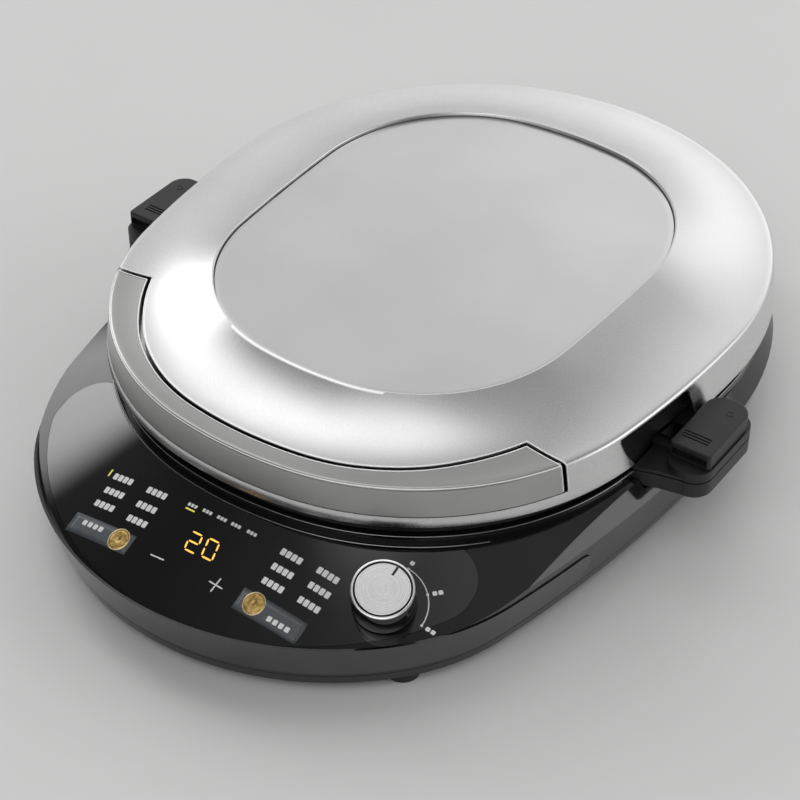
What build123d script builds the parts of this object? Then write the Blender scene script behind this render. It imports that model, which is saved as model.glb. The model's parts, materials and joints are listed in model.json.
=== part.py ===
from build123d import *
import math
import os

# Electric baking pan: a two-plate countertop cooker with a floating hinged lid, a sloping control deck
# and a lift-out plate in the base and in the lid. Millimetres, +Z up, standing on Z = 0.
# X is left to right and -Y is the front. Plans are drawn about the middle of the lid, which lies at lid_y,
# so that the origin is the middle of the whole footprint.

os.makedirs("parts", exist_ok=True)

# Plan of the lid: half width, reach to front and back, then for front and back the radius of the corner
# and how far the side and the end bow out past the corner's circle
lid_half_width = 165.0
lid_front = 189.5
lid_back = 199.6
lid_corners = (147.7, 157.0)
lid_side_bows = (6.2, 3.5)
lid_end_bows = (0.8, 1.0)

# Plan of the base at its widest line
base_half_width = 171.0
base_front = 261.5
base_back = 202.0
base_corners = (122.0, 156.0)
base_side_bows = (18.6, 4.0)
base_end_bows = (13.5, 4.0)

# Plan of the raised middle of the lid
panel_half_width = 108.0
panel_front = 130.7
panel_back = 137.4
panel_corners = (92.0, 88.5)
panel_side_bows = (2.8, 2.0)
panel_end_bows = (0.8, 1.2)

# Heights above the table
tray_z = 7.0
seam_z = 13.0
shoulder_z = 44.0
deck_z = 55.0
ledge_z = 57.0
ring_z = 59.5
part_z = 60.0
skirt_z = 69.4
rim_z = 92.0
crest_z = 105.0

# Clearances
seat_gap = 0.3
slide_gap = 0.3
shaft_gap = 0.05
piece_gap = 0.5

# Base shell and tray
base_flare = 9.0
shoulder_lean = 7.0
deck_slope = 22.0
base_wall = 2.5
tray_floor = 2.5
seam_gap = 0.4
tray_lip = 1.8
tray_lip_height = 3.0
ring_inset = 1.5
ring_bore = 9.0
ledge_bore = 16.0
boss_radius = 4.2
post_radius = 5.5
post_top = 20.0
board_post_radius = 2.5
board_post_spots = [(-43, -229), (43, -229), (-43, -197), (43, -197)]
post_seat = 3.0
foot_radius = 9.0
foot_plug_radius = 4.0
foot_spots = [(-108, -192), (108, -192), (-80, 150), (80, 150)]
base_screw_spots = [(-58, -228), (58, -228), (-139, -122), (139, -122),
                    (-154.5, 36), (154.5, 36), (-106.5, 144), (106.5, 144)]

# Screws: radii of shank and head, height of the head
screw_radius = 1.8
head_radius = 3.3
head_height = 2.2
sunk_height = 1.5

# Trim band round the front of the base
trim_proud = 0.7
trim_low = 16.0
trim_high = 37.0
trim_end = -97.0
trim_drop = 5.0
trim_end_radius = 9.0
trim_inlay = 0.8

# Control glass and what lies under it
glass_inset = 8.0
glass_ring_gap = 1.2
glass_thickness = 3.0
glass_gap = 0.2
glass_reach = 132.5
glass_top = -150.0
glass_tip_radius = 13.0
glass_heel_radius = 18.0
glass_ledge = 3.0
display_size = (47.0, 12.5)
touch_board_size = (104.0, 34.0, 1.6)
touch_board_y = -214.0
touch_board_drop = 12.0
touch_post_spots = [(-31, -13), (31, -13), (-48, 11), (0, 12), (48, 11)]
touch_pad_radius = 3.5
touch_pad_spots = [(-44, -226), (-19, -228.5), (19, -228.5), (41, -224)]

# Dial: place on the front corner of the deck, sizes and travel of the switch
dial_turn = -60.3
dial_run = 29.0
dial_foot_radius = 16.4
dial_top_radius = 15.8
dial_height = 14.9
dial_float = 0.7
dial_wall = 2.0
cap_thickness = 1.4
cap_chamfer = 0.5
hub_lift = 1.0
dial_shaft_radius = 3.0
bush_radius = 4.5
bush_hole_radius = 5.0
switch_radius = 12.0
switch_depth = 15.0
hub_radius = 5.5
shaft_in_dial = 9.0
shaft_in_switch = 12.0

# Lower plate, upper plate
plate_flange = 10.0
plate_wall = 3.0
pan_inset = 17.0
lower_lean = 11.0
upper_lean = 9.0
lower_depth = 24.0
upper_depth = 12.0
lug_width = 26.0
lug_inner = 148.0
lug_reach = 175.0
lug_thickness = 2.2
lug_screw_x = 170.0
lug_screw_half = 8.0
lug_screw_length = 4.4

# Side handles
handle_y = -20.0
handle_inner = 156.0
handle_outer = 192.8
handle_root_half = 36.0
handle_mid_half = 32.0
handle_grip_half = 29.5
handle_mid_x = 169.0
handle_grip_x = 181.0
handle_corner = 11.0
lower_handle_z = 50.0
root_thickness = 1.6
lug_cover_z = 65.3
lug_cover_half = 16.0
lug_cover_outer = 172.0
upper_handle_top = 66.0
pad_inner = 167.5
handle_edge_round = 1.0
notch_floor = 49.3
handle_gap = 1.0

# Latch on the upper handle
latch_travel = 6.0
latch_inner = 168.0
latch_outer = 191.8
latch_front = -42.0
latch_back = 6.0
latch_top = 75.5
latch_corner = 10.0
latch_front_corner = 2.0
latch_notch = (170.0, 190.0)
latch_notch_depth = 3.5
latch_notch_z = (67.9, 72.4)
grip_grooves = 3
groove_pitch = 2.2
groove_width = 1.0
groove_depth = 0.8
groove_y = -34.2
groove_x = (170.6, 186.0)
latch_round = 1.0
latch_seat = 0.3
tongue_x = 182.0
tongue_size = (4.0, 8.0)
tongue_foot = (9.0, 12.0, 1.6)
tongue_y = -14.0
tongue_foot_low = 61.6
bolt_shoulder = 157.5
bolt_thickness = 1.6
bolt_width = 12.0
bolt_y = -25.0
bolt_outer = 177.0
hook_width = 5.0
hook_inner = 150.5

# Lid shell, its inlay, its front handle and its frame
skirt_flare = 2.5
rim_round = 2.2
lid_wall = 1.2
swoop_power = 2.0
swoop_steps = 5
crest_lip = 1.0
panel_drop = 2.2
panel_thickness = 1.4
panel_gap = 0.3
recess_inset = 5.0
recess_wall = 2.0
recess_top = 89.5
recess_low_z = 68.0
recess_bend_z = 82.0
recess_low_y = (-60.5, -8.0)
recess_high_y = (-71.0, -14.0)
recess_front_bend = 14.0
recess_back_bend = 5.0
recess_front = -73.0
recess_back = -6.0
recess_liner_z = 68.4
lid_post_radius = 3.5
lid_screw_length = 12.0
lid_post_inset = 8.5
screw_seat_depth = 3.0
lid_post_turns = [(0, -20.0), (1, 22.0), (1, 68.0)]

front_handle_width = 13.5
front_handle_low = 75.5
front_handle_horn = [(-68.5, 13.9), (-54.3, 15.9), (-43.6, 18.6), (-30.2, 21.6), (-20.0, 24.0)]
front_handle_tip = (-30.2, 21.6)
front_handle_wall = 4.0
front_handle_gap = 1.6
front_handle_foot_gap = 0.5
front_handle_flange = 4.0
flange_drop = 2.0
handle_post_inset = 8.0
handle_post_turns = [-58.0, -84.0]

frame_inset = 4.0
frame_lip_inset = 9.0
frame_low = 61.0
frame_flange_z = 70.0
frame_top = 73.0
frame_flange_grow = 0.7
frame_wall = 2.5
frame_wall_inset = 14.0
hinge_pad_width = 22.0
frame_screw_length = 7.5
reflector_z = 84.0
reflector_thickness = 0.8

# Heating elements, sensors and electrical parts
tube_radius = 3.3
tube_x = 92.0
tube_y = 118.0
tube_bend = 62.0
tube_end_bend = 9.0
tube_gap = 26.0
tube_tail = 34.0
lower_reflector_inset = 24.0
lower_reflector_rim = 10.0
reflector_post_spots = [(-70, -95), (70, -95), (-70, 95), (70, 95)]
reflector_post_radius = 5.0
sensor_radius = 9.0
sensor_head = 3.0
sensor_stem_radius = 3.5
sensor_hole_gap = 0.6
spring_radius = 6.0
spring_wire = 0.6
spring_turns = 4
clip_size = (10.0, 5.0)
clip_spots = [(-92, 0, 90), (92, 0, 90), (0, -118, 0)]
fuse_radius = 2.4
fuse_length = 16.0
fuse_spot = (45.0, 30.0)
terminal_size = (44.0, 18.0)
terminal_overlap = 10.0
power_board_size = (98.0, 44.0, 1.6)
power_board_y = -213.0
power_board_z = 14.0
relay_size = (19.0, 15.0, 15.0)
relay_x = 26.0
relay_y = -204.0

# Hinge: two arms on the lid turn on a shaft, and its two carriers float in guides
hinge_y = 210.0
hinge_z = 62.0
hinge_lift = 12.0
hinge_shaft_radius = 3.0
hinge_shaft_half = 55.0
knuckle_radius = 6.5
arm_x = 30.0
arm_width = 12.0
arm_front = 182.0
arm_low = 63.9
arm_high = 69.0
arm_screw_y = (186.0, 193.5)
carrier_x = 46.0
carrier_width = 14.0
carrier_depth = 10.0
carrier_low = 30.0
carrier_foot = 4.0
foot_overhang = 1.5
guide_wall = 2.2
guide_low = 16.5
guide_high = 51.2
cover_half_width = 66.0
cover_back = 222.5
cover_front = 186.0
cover_low = 14.0
cover_high = 54.0
cover_wall = 2.5
cover_corner = 14.0
gland_z = 28.0
gland_bore_radius = 3.75
gland_radius = 6.3
gland_flange_radius = 8.8
gland_length = 16.0
gland_flange = 2.0

# Worked out from the sizes above
lid_y = (base_front - cover_back) / 2
widest_share = 0.9
corner_limit = 0.97
least_turn = 0.05
roof_over = 4.0
slope = math.radians(deck_slope)
lid_sizes = (lid_half_width, lid_front, lid_back, lid_corners, lid_side_bows, lid_end_bows)
base_sizes = (base_half_width, base_front, base_back, base_corners, base_side_bows, base_end_bows)
panel_sizes = (panel_half_width, panel_front, panel_back, panel_corners, panel_side_bows, panel_end_bows)
lower_floor_z = part_z - lower_depth
lower_under_z = lower_floor_z - plate_wall
upper_low = part_z + seat_gap
upper_flange_top = upper_low + plate_wall
upper_over_z = upper_low + upper_depth + plate_wall
lower_tube_z = lower_under_z - seat_gap - tube_radius
upper_tube_z = upper_over_z + seat_gap + tube_radius
boss_low = post_top + seat_gap
latch_low = upper_handle_top + latch_seat
tongue_foot_top = tongue_foot_low + tongue_foot[2]


# Planes and outlines
def level(z):
    return Plane((0, lid_y, z))


def corner_circles(plan):
    half, front, back, corners, side_bows, end_bows = plan
    circles = []
    for end, reach, corner, side_bow, end_bow in zip((-1, 1), (front, back), corners, side_bows, end_bows):
        radius = min(corner, corner_limit * (half - side_bow))
        centre = (half - side_bow - radius, end * (reach - end_bow - radius))
        circles.append((centre, radius, side_bow, end_bow, end * reach))
    return circles


def turn_between(start, stop):
    return math.degrees(math.atan2(stop[1] - start[1], stop[0] - start[0]))


def plan_arcs(plan):
    # Right half of a plan from front to back, as arcs that run into each other.
    # Each is its centre, radius, first and last turn.
    front, back = corner_circles(plan)
    side_y = front[0][1] + widest_share * (back[0][1] - front[0][1])
    arcs = []
    for (x, y), radius, side_bow, end_bow, reach in (front, back):
        end = math.copysign(1, reach)
        side_radius = (side_bow * (side_bow + 2 * radius) + (y - side_y) ** 2) / (2 * side_bow)
        end_radius = (end_bow * (end_bow + 2 * radius) + x ** 2) / (2 * end_bow)
        side_centre = (plan[0] - side_radius, side_y)
        end_centre = (0, reach - end * end_radius)
        side_turn = turn_between(side_centre, (x, y))
        end_turn = turn_between(end_centre, (x, y))
        group = [(end_centre, end_radius, 90 * end, end_turn), ((x, y), radius, end_turn, side_turn),
                 (side_centre, side_radius, side_turn, 0)]
        turned = [(centre, size, stop, start) for centre, size, start, stop in reversed(group)]
        arcs += group if end < 0 else turned
    return arcs


def split_arcs(arcs, turns):
    pieces = []
    for centre, radius, start, stop in arcs:
        cuts = [turn for turn in sorted(turns) if start + least_turn < turn < stop - least_turn]
        for low, high in zip([start] + cuts, cuts + [stop]):
            pieces.append((centre, radius, low, high))
    return pieces


def turns_of(*outlines):
    return {arc[3] for arcs in outlines for arc in arcs}


def blend_arcs(first, second, share):
    # Outline between two others, taken along the same directions
    turns = turns_of(first, second)
    pieces = []
    for near, far in zip(split_arcs(first, turns), split_arcs(second, turns)):
        (a, radius_a, start, stop), (b, radius_b) = near, far[:2]
        centre = (a[0] + share * (b[0] - a[0]), a[1] + share * (b[1] - a[1]))
        pieces.append((centre, radius_a + share * (radius_b - radius_a), start, stop))
    return pieces


def outline_edges(arcs, grow, z=0.0):
    with BuildLine(level(z) if z else Plane.XY) as outline:
        for centre, radius, start, stop in arcs:
            CenterArc(centre, radius + grow, start, stop - start)
        mirror(about=Plane.YZ)
    return outline.edges()


def rounded_plan(arcs, grow=0.0, mode=Mode.ADD):
    make_face(outline_edges(arcs, grow), mode=mode)


def corner_spot(end, turn, inset, sizes=lid_sizes):
    # A place inside the corner of a plan: end 0 is the front and 1 the back, and the turn
    # is seen from the corner's centre
    centre, radius = corner_circles(sizes)[end][:2]
    angle = math.radians(turn)
    return centre[0] + (radius - inset) * math.cos(angle), centre[1] + (radius - inset) * math.sin(angle)


def both_sides(spots):
    return [(side * x, y) for x, y in spots for side in (-1, 1)]


def ruled_form(*sections):
    turns = turns_of(*[arcs for arcs, _, _ in sections])
    faces = [Face(Wire(outline_edges(split_arcs(arcs, turns), grow, z))) for arcs, grow, z in sections]
    with BuildPart() as form:
        loft(faces, ruled=True)
    return form.part


def slab(plan, grow, low, high):
    with BuildPart() as form:
        with BuildSketch(level(low)):
            rounded_plan(plan, grow)
        extrude(amount=high - low)
    return form.part


lid_plan = plan_arcs(lid_sizes)
base_plan = plan_arcs(base_sizes)
panel_plan = plan_arcs(panel_sizes)


def drafted(plan, low_grow, low, high_grow, high):
    # Form between two heights whose wall leans evenly
    with BuildPart() as form:
        with BuildSketch(level(low)):
            rounded_plan(plan, low_grow)
        extrude(amount=high - low, taper=math.degrees(math.atan2(low_grow - high_grow, high - low)))
    return form.part


# Forms of the base: a flared wall up to the shoulder, a short steep shoulder, and a roof of one steady slope
def wall_grow(z):
    return -base_flare * (shoulder_z - z) / (shoulder_z - tray_z)


def roof_form(drop, inset=0.0):
    high = deck_z - drop
    return drafted(lid_plan, high / math.tan(slope) - inset, 0,
                   -roof_over / math.tan(slope) - inset, high + roof_over)


def base_form(inset, drop, low):
    with BuildPart() as form:
        add(drafted(base_plan, wall_grow(low) - inset, low, -inset, shoulder_z - drop))
        add(drafted(base_plan, -inset, shoulder_z - drop, -shoulder_lean - inset, deck_z - drop))
        add(roof_form(drop, inset), mode=Mode.INTERSECT)
    return form.part


def glass_plan(grow):
    # Crescent in front of the ring, with rounded tips
    with BuildSketch(level(0)) as crescent:
        rounded_plan(base_plan, -glass_inset)
        rounded_plan(lid_plan, glass_ring_gap, mode=Mode.SUBTRACT)
        with Locations((0, glass_top - base_front)):
            Rectangle(2 * glass_reach, 2 * base_front, mode=Mode.INTERSECT)
        corners = crescent.vertices()
        tips = corners.filter_by(lambda v: abs(v.X) > glass_reach - seat_gap)
        upper = tips.filter_by(lambda v: v.Y > lid_y + glass_top - seat_gap)
        lower = tips.filter_by(lambda v: v.Y < lid_y + glass_top - seat_gap)
        fillet(upper, glass_tip_radius)
        fillet(lower, glass_heel_radius)
        if grow:
            offset(amount=grow)
    return crescent.sketch


def deck_layer(high_drop, low_drop, grow):
    with BuildPart() as layer:
        add(glass_plan(grow))
        extrude(amount=deck_z + plate_wall)
        add(roof_form(high_drop), mode=Mode.INTERSECT)
        add(roof_form(low_drop), mode=Mode.SUBTRACT)
    return layer.part


def trim_layer(inner, outer, gap):
    # Part of the front wall between two offsets of it, with rounded ends and a top edge that follows the deck
    with BuildPart() as layer:
        add(drafted(base_plan, wall_grow(tray_z) + outer, tray_z, outer, shoulder_z))
        add(drafted(base_plan, wall_grow(tray_z) + inner, tray_z, inner, shoulder_z), mode=Mode.SUBTRACT)
        add(roof_form(trim_drop - gap, -deck_z), mode=Mode.INTERSECT)
        with BuildSketch(Plane.YZ.offset(-2 * base_half_width)) as side_view:
            with Locations((lid_y - base_front, (trim_low + trim_high) / 2)):
                Rectangle(2 * (base_front + trim_end + gap), trim_high - trim_low + 2 * gap)
            fillet(side_view.vertices(), trim_end_radius)
        extrude(amount=4 * base_half_width, mode=Mode.INTERSECT)
    return layer.part


# The dial stands square on the sloping deck
dial_x, dial_y = corner_spot(0, dial_turn, -dial_run)
dial_z = deck_z - dial_run * math.tan(slope)
dial_radians = math.radians(dial_turn)
dial_axis = Vector(math.sin(slope) * math.cos(dial_radians), math.sin(slope) * math.sin(dial_radians),
                   math.cos(slope))
dial_side = Vector(-math.sin(dial_radians), math.cos(dial_radians), 0)
dial_plane = Plane(origin=(dial_x, dial_y + lid_y, dial_z), x_dir=dial_side, z_dir=dial_axis)


# Plan of a side handle, narrower towards its grip
def handle_plan(side, grow=0.0):
    points = [(handle_inner, handle_root_half), (handle_mid_x, handle_mid_half),
              (handle_grip_x, handle_grip_half), (handle_outer, handle_grip_half)]
    front = [(side * x, handle_y - half) for x, half in points]
    back = [(side * x, handle_y + half) for x, half in reversed(points)]
    with BuildSketch(level(0)) as plan:
        with BuildLine() as outline:
            Polyline(*front, *back, close=True)
        make_face(outline.edges())
        fillet(plan.vertices().filter_by(lambda v: abs(v.X) > handle_outer - seat_gap), handle_corner)
        if grow:
            offset(amount=grow)
    return plan.sketch


def handle_block(side, low, high, grow=0.0):
    with BuildPart() as block:
        add(handle_plan(side, grow).moved(Location((0, 0, low))))
        extrude(amount=high - low)
    return block.part


def handle_pad(side):
    # Raised seat of the latch, round at both ends, and the cover over the plate's lug
    with BuildPart() as pad:
        add(rounded_bar((side * pad_inner, side * handle_outer), across(handle_y, 2 * handle_grip_half),
                        (upper_low, upper_handle_top), handle_corner))
        add(box((side * handle_inner, side * lug_cover_outer), across(handle_y, 2 * lug_cover_half),
                (upper_low, lug_cover_z)))
    return pad.part


def rods(spots, radius, low, high):
    with BuildPart() as group:
        with BuildSketch(level(low)):
            with Locations(*spots):
                Circle(radius)
        extrude(amount=high - low)
    return group.part


def across(centre, width, gap=0.0, side=1):
    # Range that a piece of that width and the gap round it take on one side
    reach = width / 2 + gap
    return (side * (centre - reach), side * (centre + reach))


def slid(centre, width, travel, gap):
    # The same range for a piece that slides towards the front
    low, high = across(centre, width, gap)
    return (low - travel, high)


def box(x, y, z):
    # Box between two limits along each axis, placed in the lid's plan
    middle = ((x[0] + x[1]) / 2, lid_y + (y[0] + y[1]) / 2, (z[0] + z[1]) / 2)
    with BuildPart() as block:
        with Locations(middle):
            Box(abs(x[1] - x[0]), abs(y[1] - y[0]), abs(z[1] - z[0]))
    return block.part


def rounded_bar(x, y, z, radius):
    # The same with its upright edges rounded
    with BuildPart() as block:
        add(box(x, y, z))
        fillet(block.edges().filter_by(Axis.Z), radius)
    return block.part


def lug_space(side, low, high):
    # Way for a plate's lug through the rings round it
    half = lug_width / 2 + handle_gap
    return box((0, side * lug_reach), (handle_y - half, handle_y + half), (low, high))


# Places on the slope of the deck
def on_deck(y, drop):
    return Plane(origin=(0, lid_y + y, deck_z - drop / math.cos(slope) + (y + lid_front) * math.tan(slope)),
                 x_dir=(1, 0, 0), z_dir=(0, -math.sin(slope), math.cos(slope)))


board_plane = on_deck(touch_board_y, touch_board_drop)
dial_base_plane = dial_plane.offset(dial_float)
switch_plane = dial_plane.offset(-glass_thickness - base_wall - seat_gap)

# Base shell: deck, shoulder, side wall and the ring round the lower plate
outer_base = base_form(0.0, 0.0, seam_z)
with BuildPart() as handle_seats:
    for side in (-1, 1):
        add(handle_block(side, notch_floor - base_wall, ledge_z, handle_gap + base_wall))
    add(outer_base, mode=Mode.INTERSECT)

with BuildPart() as base_bosses:
    add(rods(base_screw_spots, boss_radius, boss_low, deck_z))
    with BuildSketch(board_plane):
        with Locations(*touch_post_spots):
            Circle(board_post_radius)
    extrude(amount=touch_board_drop)
    add(base_form(base_wall / 2, base_wall / 2, seam_z), mode=Mode.INTERSECT)

with BuildPart() as base_shell:
    add(outer_base)
    add(base_form(base_wall, base_wall, seam_z - base_wall), mode=Mode.SUBTRACT)
    with BuildSketch(level(deck_z - base_wall)):
        rounded_plan(lid_plan, -ring_inset)
    extrude(amount=ring_z - deck_z + base_wall)
    add(handle_seats.part)
    add(base_bosses.part)
    add(deck_layer(glass_thickness, glass_thickness + base_wall, glass_ledge))
    add(slab(lid_plan, -ledge_bore, lower_floor_z, crest_z), mode=Mode.SUBTRACT)
    add(slab(lid_plan, -ring_bore, ledge_z, crest_z), mode=Mode.SUBTRACT)
    for side in (-1, 1):
        add(handle_block(side, notch_floor, crest_z, handle_gap), mode=Mode.SUBTRACT)
        add(lug_space(side, ledge_z, crest_z), mode=Mode.SUBTRACT)
    add(deck_layer(-seat_gap, glass_thickness, glass_gap), mode=Mode.SUBTRACT)
    add(rods(base_screw_spots, screw_radius + shaft_gap, boss_low, boss_low + 2 * lid_screw_length),
        mode=Mode.SUBTRACT)
    with BuildSketch(dial_plane):
        Circle(bush_hole_radius)
    extrude(amount=2 * glass_thickness + base_wall, both=True, mode=Mode.SUBTRACT)
    with BuildSketch(board_plane):
        Rectangle(display_size[0] + 2 * piece_gap, display_size[1] + 2 * piece_gap)
    extrude(amount=touch_board_drop, mode=Mode.SUBTRACT)
    add(rods(touch_pad_spots, touch_pad_radius + piece_gap, post_top, crest_z), mode=Mode.SUBTRACT)
    with BuildSketch(Plane.XZ.offset(-lid_y - base_back)):
        with Locations((0, gland_z)):
            Circle(gland_radius)
    extrude(amount=2 * base_flare, both=True, mode=Mode.SUBTRACT)
    add(trim_layer(-trim_inlay, base_wall, glass_gap), mode=Mode.SUBTRACT)
base_shell.part.label = "base_shell"
export_step(base_shell.part, "parts/base_shell.step")

# Trim band let into the front wall
with BuildPart() as front_trim:
    add(trim_layer(-trim_inlay, trim_proud, 0.0))
front_trim.part.label = "front_trim"
export_step(front_trim.part, "parts/front_trim.step")

# Control glass
with BuildPart() as control_glass:
    add(deck_layer(0.0, glass_thickness, 0.0))
    with BuildSketch(dial_plane):
        Circle(bush_hole_radius)
    extrude(amount=2 * glass_thickness, both=True, mode=Mode.SUBTRACT)
control_glass.part.label = "control_glass"
export_step(control_glass.part, "parts/control_glass.step")

# Tray that closes the base from below
lip_grow = wall_grow(seam_z) - base_wall - slide_gap
with BuildPart() as base_tray:
    add(drafted(base_plan, wall_grow(tray_z), tray_z, wall_grow(seam_z - seam_gap), seam_z - seam_gap))
    add(slab(base_plan, lip_grow, tray_z, seam_z + tray_lip_height))
    add(slab(base_plan, lip_grow - tray_lip, tray_z + tray_floor, crest_z), mode=Mode.SUBTRACT)
    add(rods(base_screw_spots, post_radius, tray_z, post_top))
    add(rods(reflector_post_spots, reflector_post_radius, tray_z, post_top))
    add(rods(board_post_spots, board_post_radius, tray_z, power_board_z))
    add(rods(base_screw_spots, screw_radius + shaft_gap, 0, crest_z), mode=Mode.SUBTRACT)
    add(rods(base_screw_spots, head_radius + seat_gap, 0, post_top - post_seat), mode=Mode.SUBTRACT)
    add(rods(foot_spots, foot_plug_radius, 0, tray_z + tray_floor), mode=Mode.SUBTRACT)
base_tray.part.label = "base_tray"
export_step(base_tray.part, "parts/base_tray.step")

# Feet with plugs through the tray
with BuildPart() as feet:
    add(rods(foot_spots, foot_radius, 0, tray_z))
    chamfer(feet.edges().group_by(Axis.Z)[0], piece_gap)
    add(rods(foot_spots, foot_plug_radius - shaft_gap, tray_z, tray_z + tray_floor))
feet.part.label = "feet"
export_step(feet.part, "parts/feet.step")

# Screws that hold shell and tray together
with BuildPart() as base_screws:
    add(rods(base_screw_spots, head_radius, post_top - post_seat - head_height, post_top - post_seat))
    add(rods(base_screw_spots, screw_radius, post_top - post_seat, boss_low + lid_screw_length))
base_screws.part.label = "base_screws"
export_step(base_screws.part, "parts/base_screws.step")

# Display under the glass, the touch board below it and the pads that reach up to the glass
with BuildPart() as display_module:
    with BuildSketch(board_plane):
        Rectangle(*display_size)
    extrude(amount=touch_board_drop - glass_thickness - seat_gap)
display_module.part.label = "display_module"
export_step(display_module.part, "parts/display_module.step")

with BuildPart() as touch_board:
    with BuildSketch(board_plane):
        Rectangle(touch_board_size[0], touch_board_size[1])
    extrude(amount=-touch_board_size[2])
touch_board.part.label = "touch_board"
export_step(touch_board.part, "parts/touch_board.step")

with BuildPart() as touch_pads:
    add(rods(touch_pad_spots, touch_pad_radius, post_top, deck_z))
    add(roof_form(glass_thickness + seat_gap), mode=Mode.INTERSECT)
    split(bisect_by=board_plane, keep=Keep.TOP)
touch_pads.part.label = "touch_pads"
export_step(touch_pads.part, "parts/touch_pads.step")

# Dial: body with its hub, cap, shaft and the switch below the deck
with BuildPart() as dial_body:
    with BuildSketch(dial_base_plane):
        Circle(dial_foot_radius)
    with BuildSketch(dial_base_plane.offset(dial_height)):
        Circle(dial_top_radius)
    loft()
    with BuildSketch(dial_base_plane):
        Circle(dial_top_radius - dial_wall)
        Circle(hub_radius, mode=Mode.SUBTRACT)
    extrude(amount=dial_height - dial_wall, mode=Mode.SUBTRACT)
    with BuildSketch(dial_base_plane):
        Circle(dial_shaft_radius + shaft_gap)
    extrude(amount=shaft_in_dial + shaft_gap, mode=Mode.SUBTRACT)
    with BuildSketch(dial_base_plane):
        Circle(hub_radius)
        Circle(dial_shaft_radius + shaft_gap, mode=Mode.SUBTRACT)
    extrude(amount=hub_lift, mode=Mode.SUBTRACT)
dial_body.part.label = "dial_body"
export_step(dial_body.part, "parts/dial_body.step")

with BuildPart() as dial_cap:
    with BuildSketch(dial_base_plane.offset(dial_height)):
        Circle(dial_top_radius)
    extrude(amount=cap_thickness)
    chamfer(dial_cap.faces().sort_by(Axis.Z)[-1].edges(), cap_chamfer)
dial_cap.part.label = "dial_cap"
export_step(dial_cap.part, "parts/dial_cap.step")

with BuildPart() as dial_shaft:
    with BuildSketch(dial_base_plane.offset(shaft_in_dial)):
        Circle(dial_shaft_radius)
    extrude(amount=-shaft_in_dial - dial_float - glass_thickness - base_wall - shaft_in_switch)
dial_shaft.part.label = "dial_shaft"
export_step(dial_shaft.part, "parts/dial_shaft.step")

with BuildPart() as dial_switch:
    with BuildSketch(switch_plane):
        Circle(switch_radius)
    extrude(amount=-switch_depth)
    with BuildSketch(switch_plane):
        Circle(bush_radius)
    extrude(amount=glass_thickness + base_wall + seat_gap)
    with BuildSketch(dial_plane):
        Circle(dial_shaft_radius + shaft_gap)
    extrude(amount=-glass_thickness - base_wall - shaft_in_switch - piece_gap, mode=Mode.SUBTRACT)
dial_switch.part.label = "dial_switch"
export_step(dial_switch.part, "parts/dial_switch.step")

# Power board with its relays, on short posts of the tray
with BuildPart() as power_board:
    with BuildSketch(level(power_board_z)):
        with Locations((0, power_board_y)):
            Rectangle(power_board_size[0], power_board_size[1])
    extrude(amount=power_board_size[2])
power_board.part.label = "power_board"
export_step(power_board.part, "parts/power_board.step")

with BuildPart() as power_relays:
    with BuildSketch(level(power_board_z + power_board_size[2])):
        with Locations((-relay_x, relay_y), (relay_x, relay_y)):
            Rectangle(relay_size[0], relay_size[1])
    extrude(amount=relay_size[2])
power_relays.part.label = "power_relays"
export_step(power_relays.part, "parts/power_relays.step")


# Tube of a heating element: one loop whose two ends lie side by side at the back
def heating_tube(z):
    half = tube_gap / 2
    points = [(half, tube_y + tube_tail), (half, tube_y), (tube_x, tube_y), (tube_x, -tube_y),
              (-tube_x, -tube_y), (-tube_x, tube_y), (-half, tube_y), (-half, tube_y + tube_tail)]
    bends = [tube_end_bend, tube_bend, tube_bend, tube_bend, tube_bend, tube_end_bend]
    with BuildPart() as tube:
        with BuildLine(level(z)) as path:
            FilletPolyline(*points, radius=bends)
        with BuildSketch(Plane(origin=path.line @ 0, z_dir=path.line % 0)):
            Circle(tube_radius)
        sweep(path=path.line)
    return tube.part


def terminal_block(z, seat_z):
    near_y = tube_y + tube_tail - terminal_overlap
    with BuildPart() as block:
        add(box((-terminal_size[0] / 2, terminal_size[0] / 2), (near_y, near_y + terminal_size[1]),
                (min(seat_z, z), max(seat_z, z))))
        with BuildSketch(Plane.XZ.offset(-lid_y - tube_y - tube_tail - shaft_gap)):
            with Locations((-tube_gap / 2, z), (tube_gap / 2, z)):
                Circle(tube_radius + shaft_gap)
        extrude(amount=tube_tail, mode=Mode.SUBTRACT)
    return block.part


def clips(z, seat_z, tube):
    with BuildPart() as group:
        for x, y, turn in clip_spots:
            with BuildSketch(level(min(z, seat_z))):
                with Locations(Location((x, y, 0), turn)):
                    Rectangle(clip_size[1], clip_size[0])
            extrude(amount=abs(z - seat_z))
        add(tube, mode=Mode.SUBTRACT)
    return group.part


def sensor(head_z, stem_z):
    with BuildPart() as probe:
        add(rods([(0, 0)], sensor_radius, min(head_z), max(head_z)))
        add(rods([(0, 0)], sensor_stem_radius, min(stem_z), max(stem_z)))
    return probe.part


# Lower reflector, heating element, terminal block and clips
lower_reflector_top = post_top + reflector_thickness
with BuildPart() as lower_reflector:
    add(slab(lid_plan, -lower_reflector_inset, post_top, post_top + lower_reflector_rim))
    add(slab(lid_plan, -lower_reflector_inset - reflector_thickness, lower_reflector_top, deck_z),
        mode=Mode.SUBTRACT)
    add(rods([(0, 0)], sensor_stem_radius + sensor_hole_gap, 0, deck_z), mode=Mode.SUBTRACT)
lower_reflector.part.label = "lower_reflector"
export_step(lower_reflector.part, "parts/lower_reflector.step")

with BuildPart() as lower_element:
    add(heating_tube(lower_tube_z))
lower_element.part.label = "lower_element"
export_step(lower_element.part, "parts/lower_element.step")

with BuildPart() as lower_terminal:
    add(terminal_block(lower_tube_z, lower_reflector_top))
lower_terminal.part.label = "lower_terminal"
export_step(lower_terminal.part, "parts/lower_terminal.step")

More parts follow.
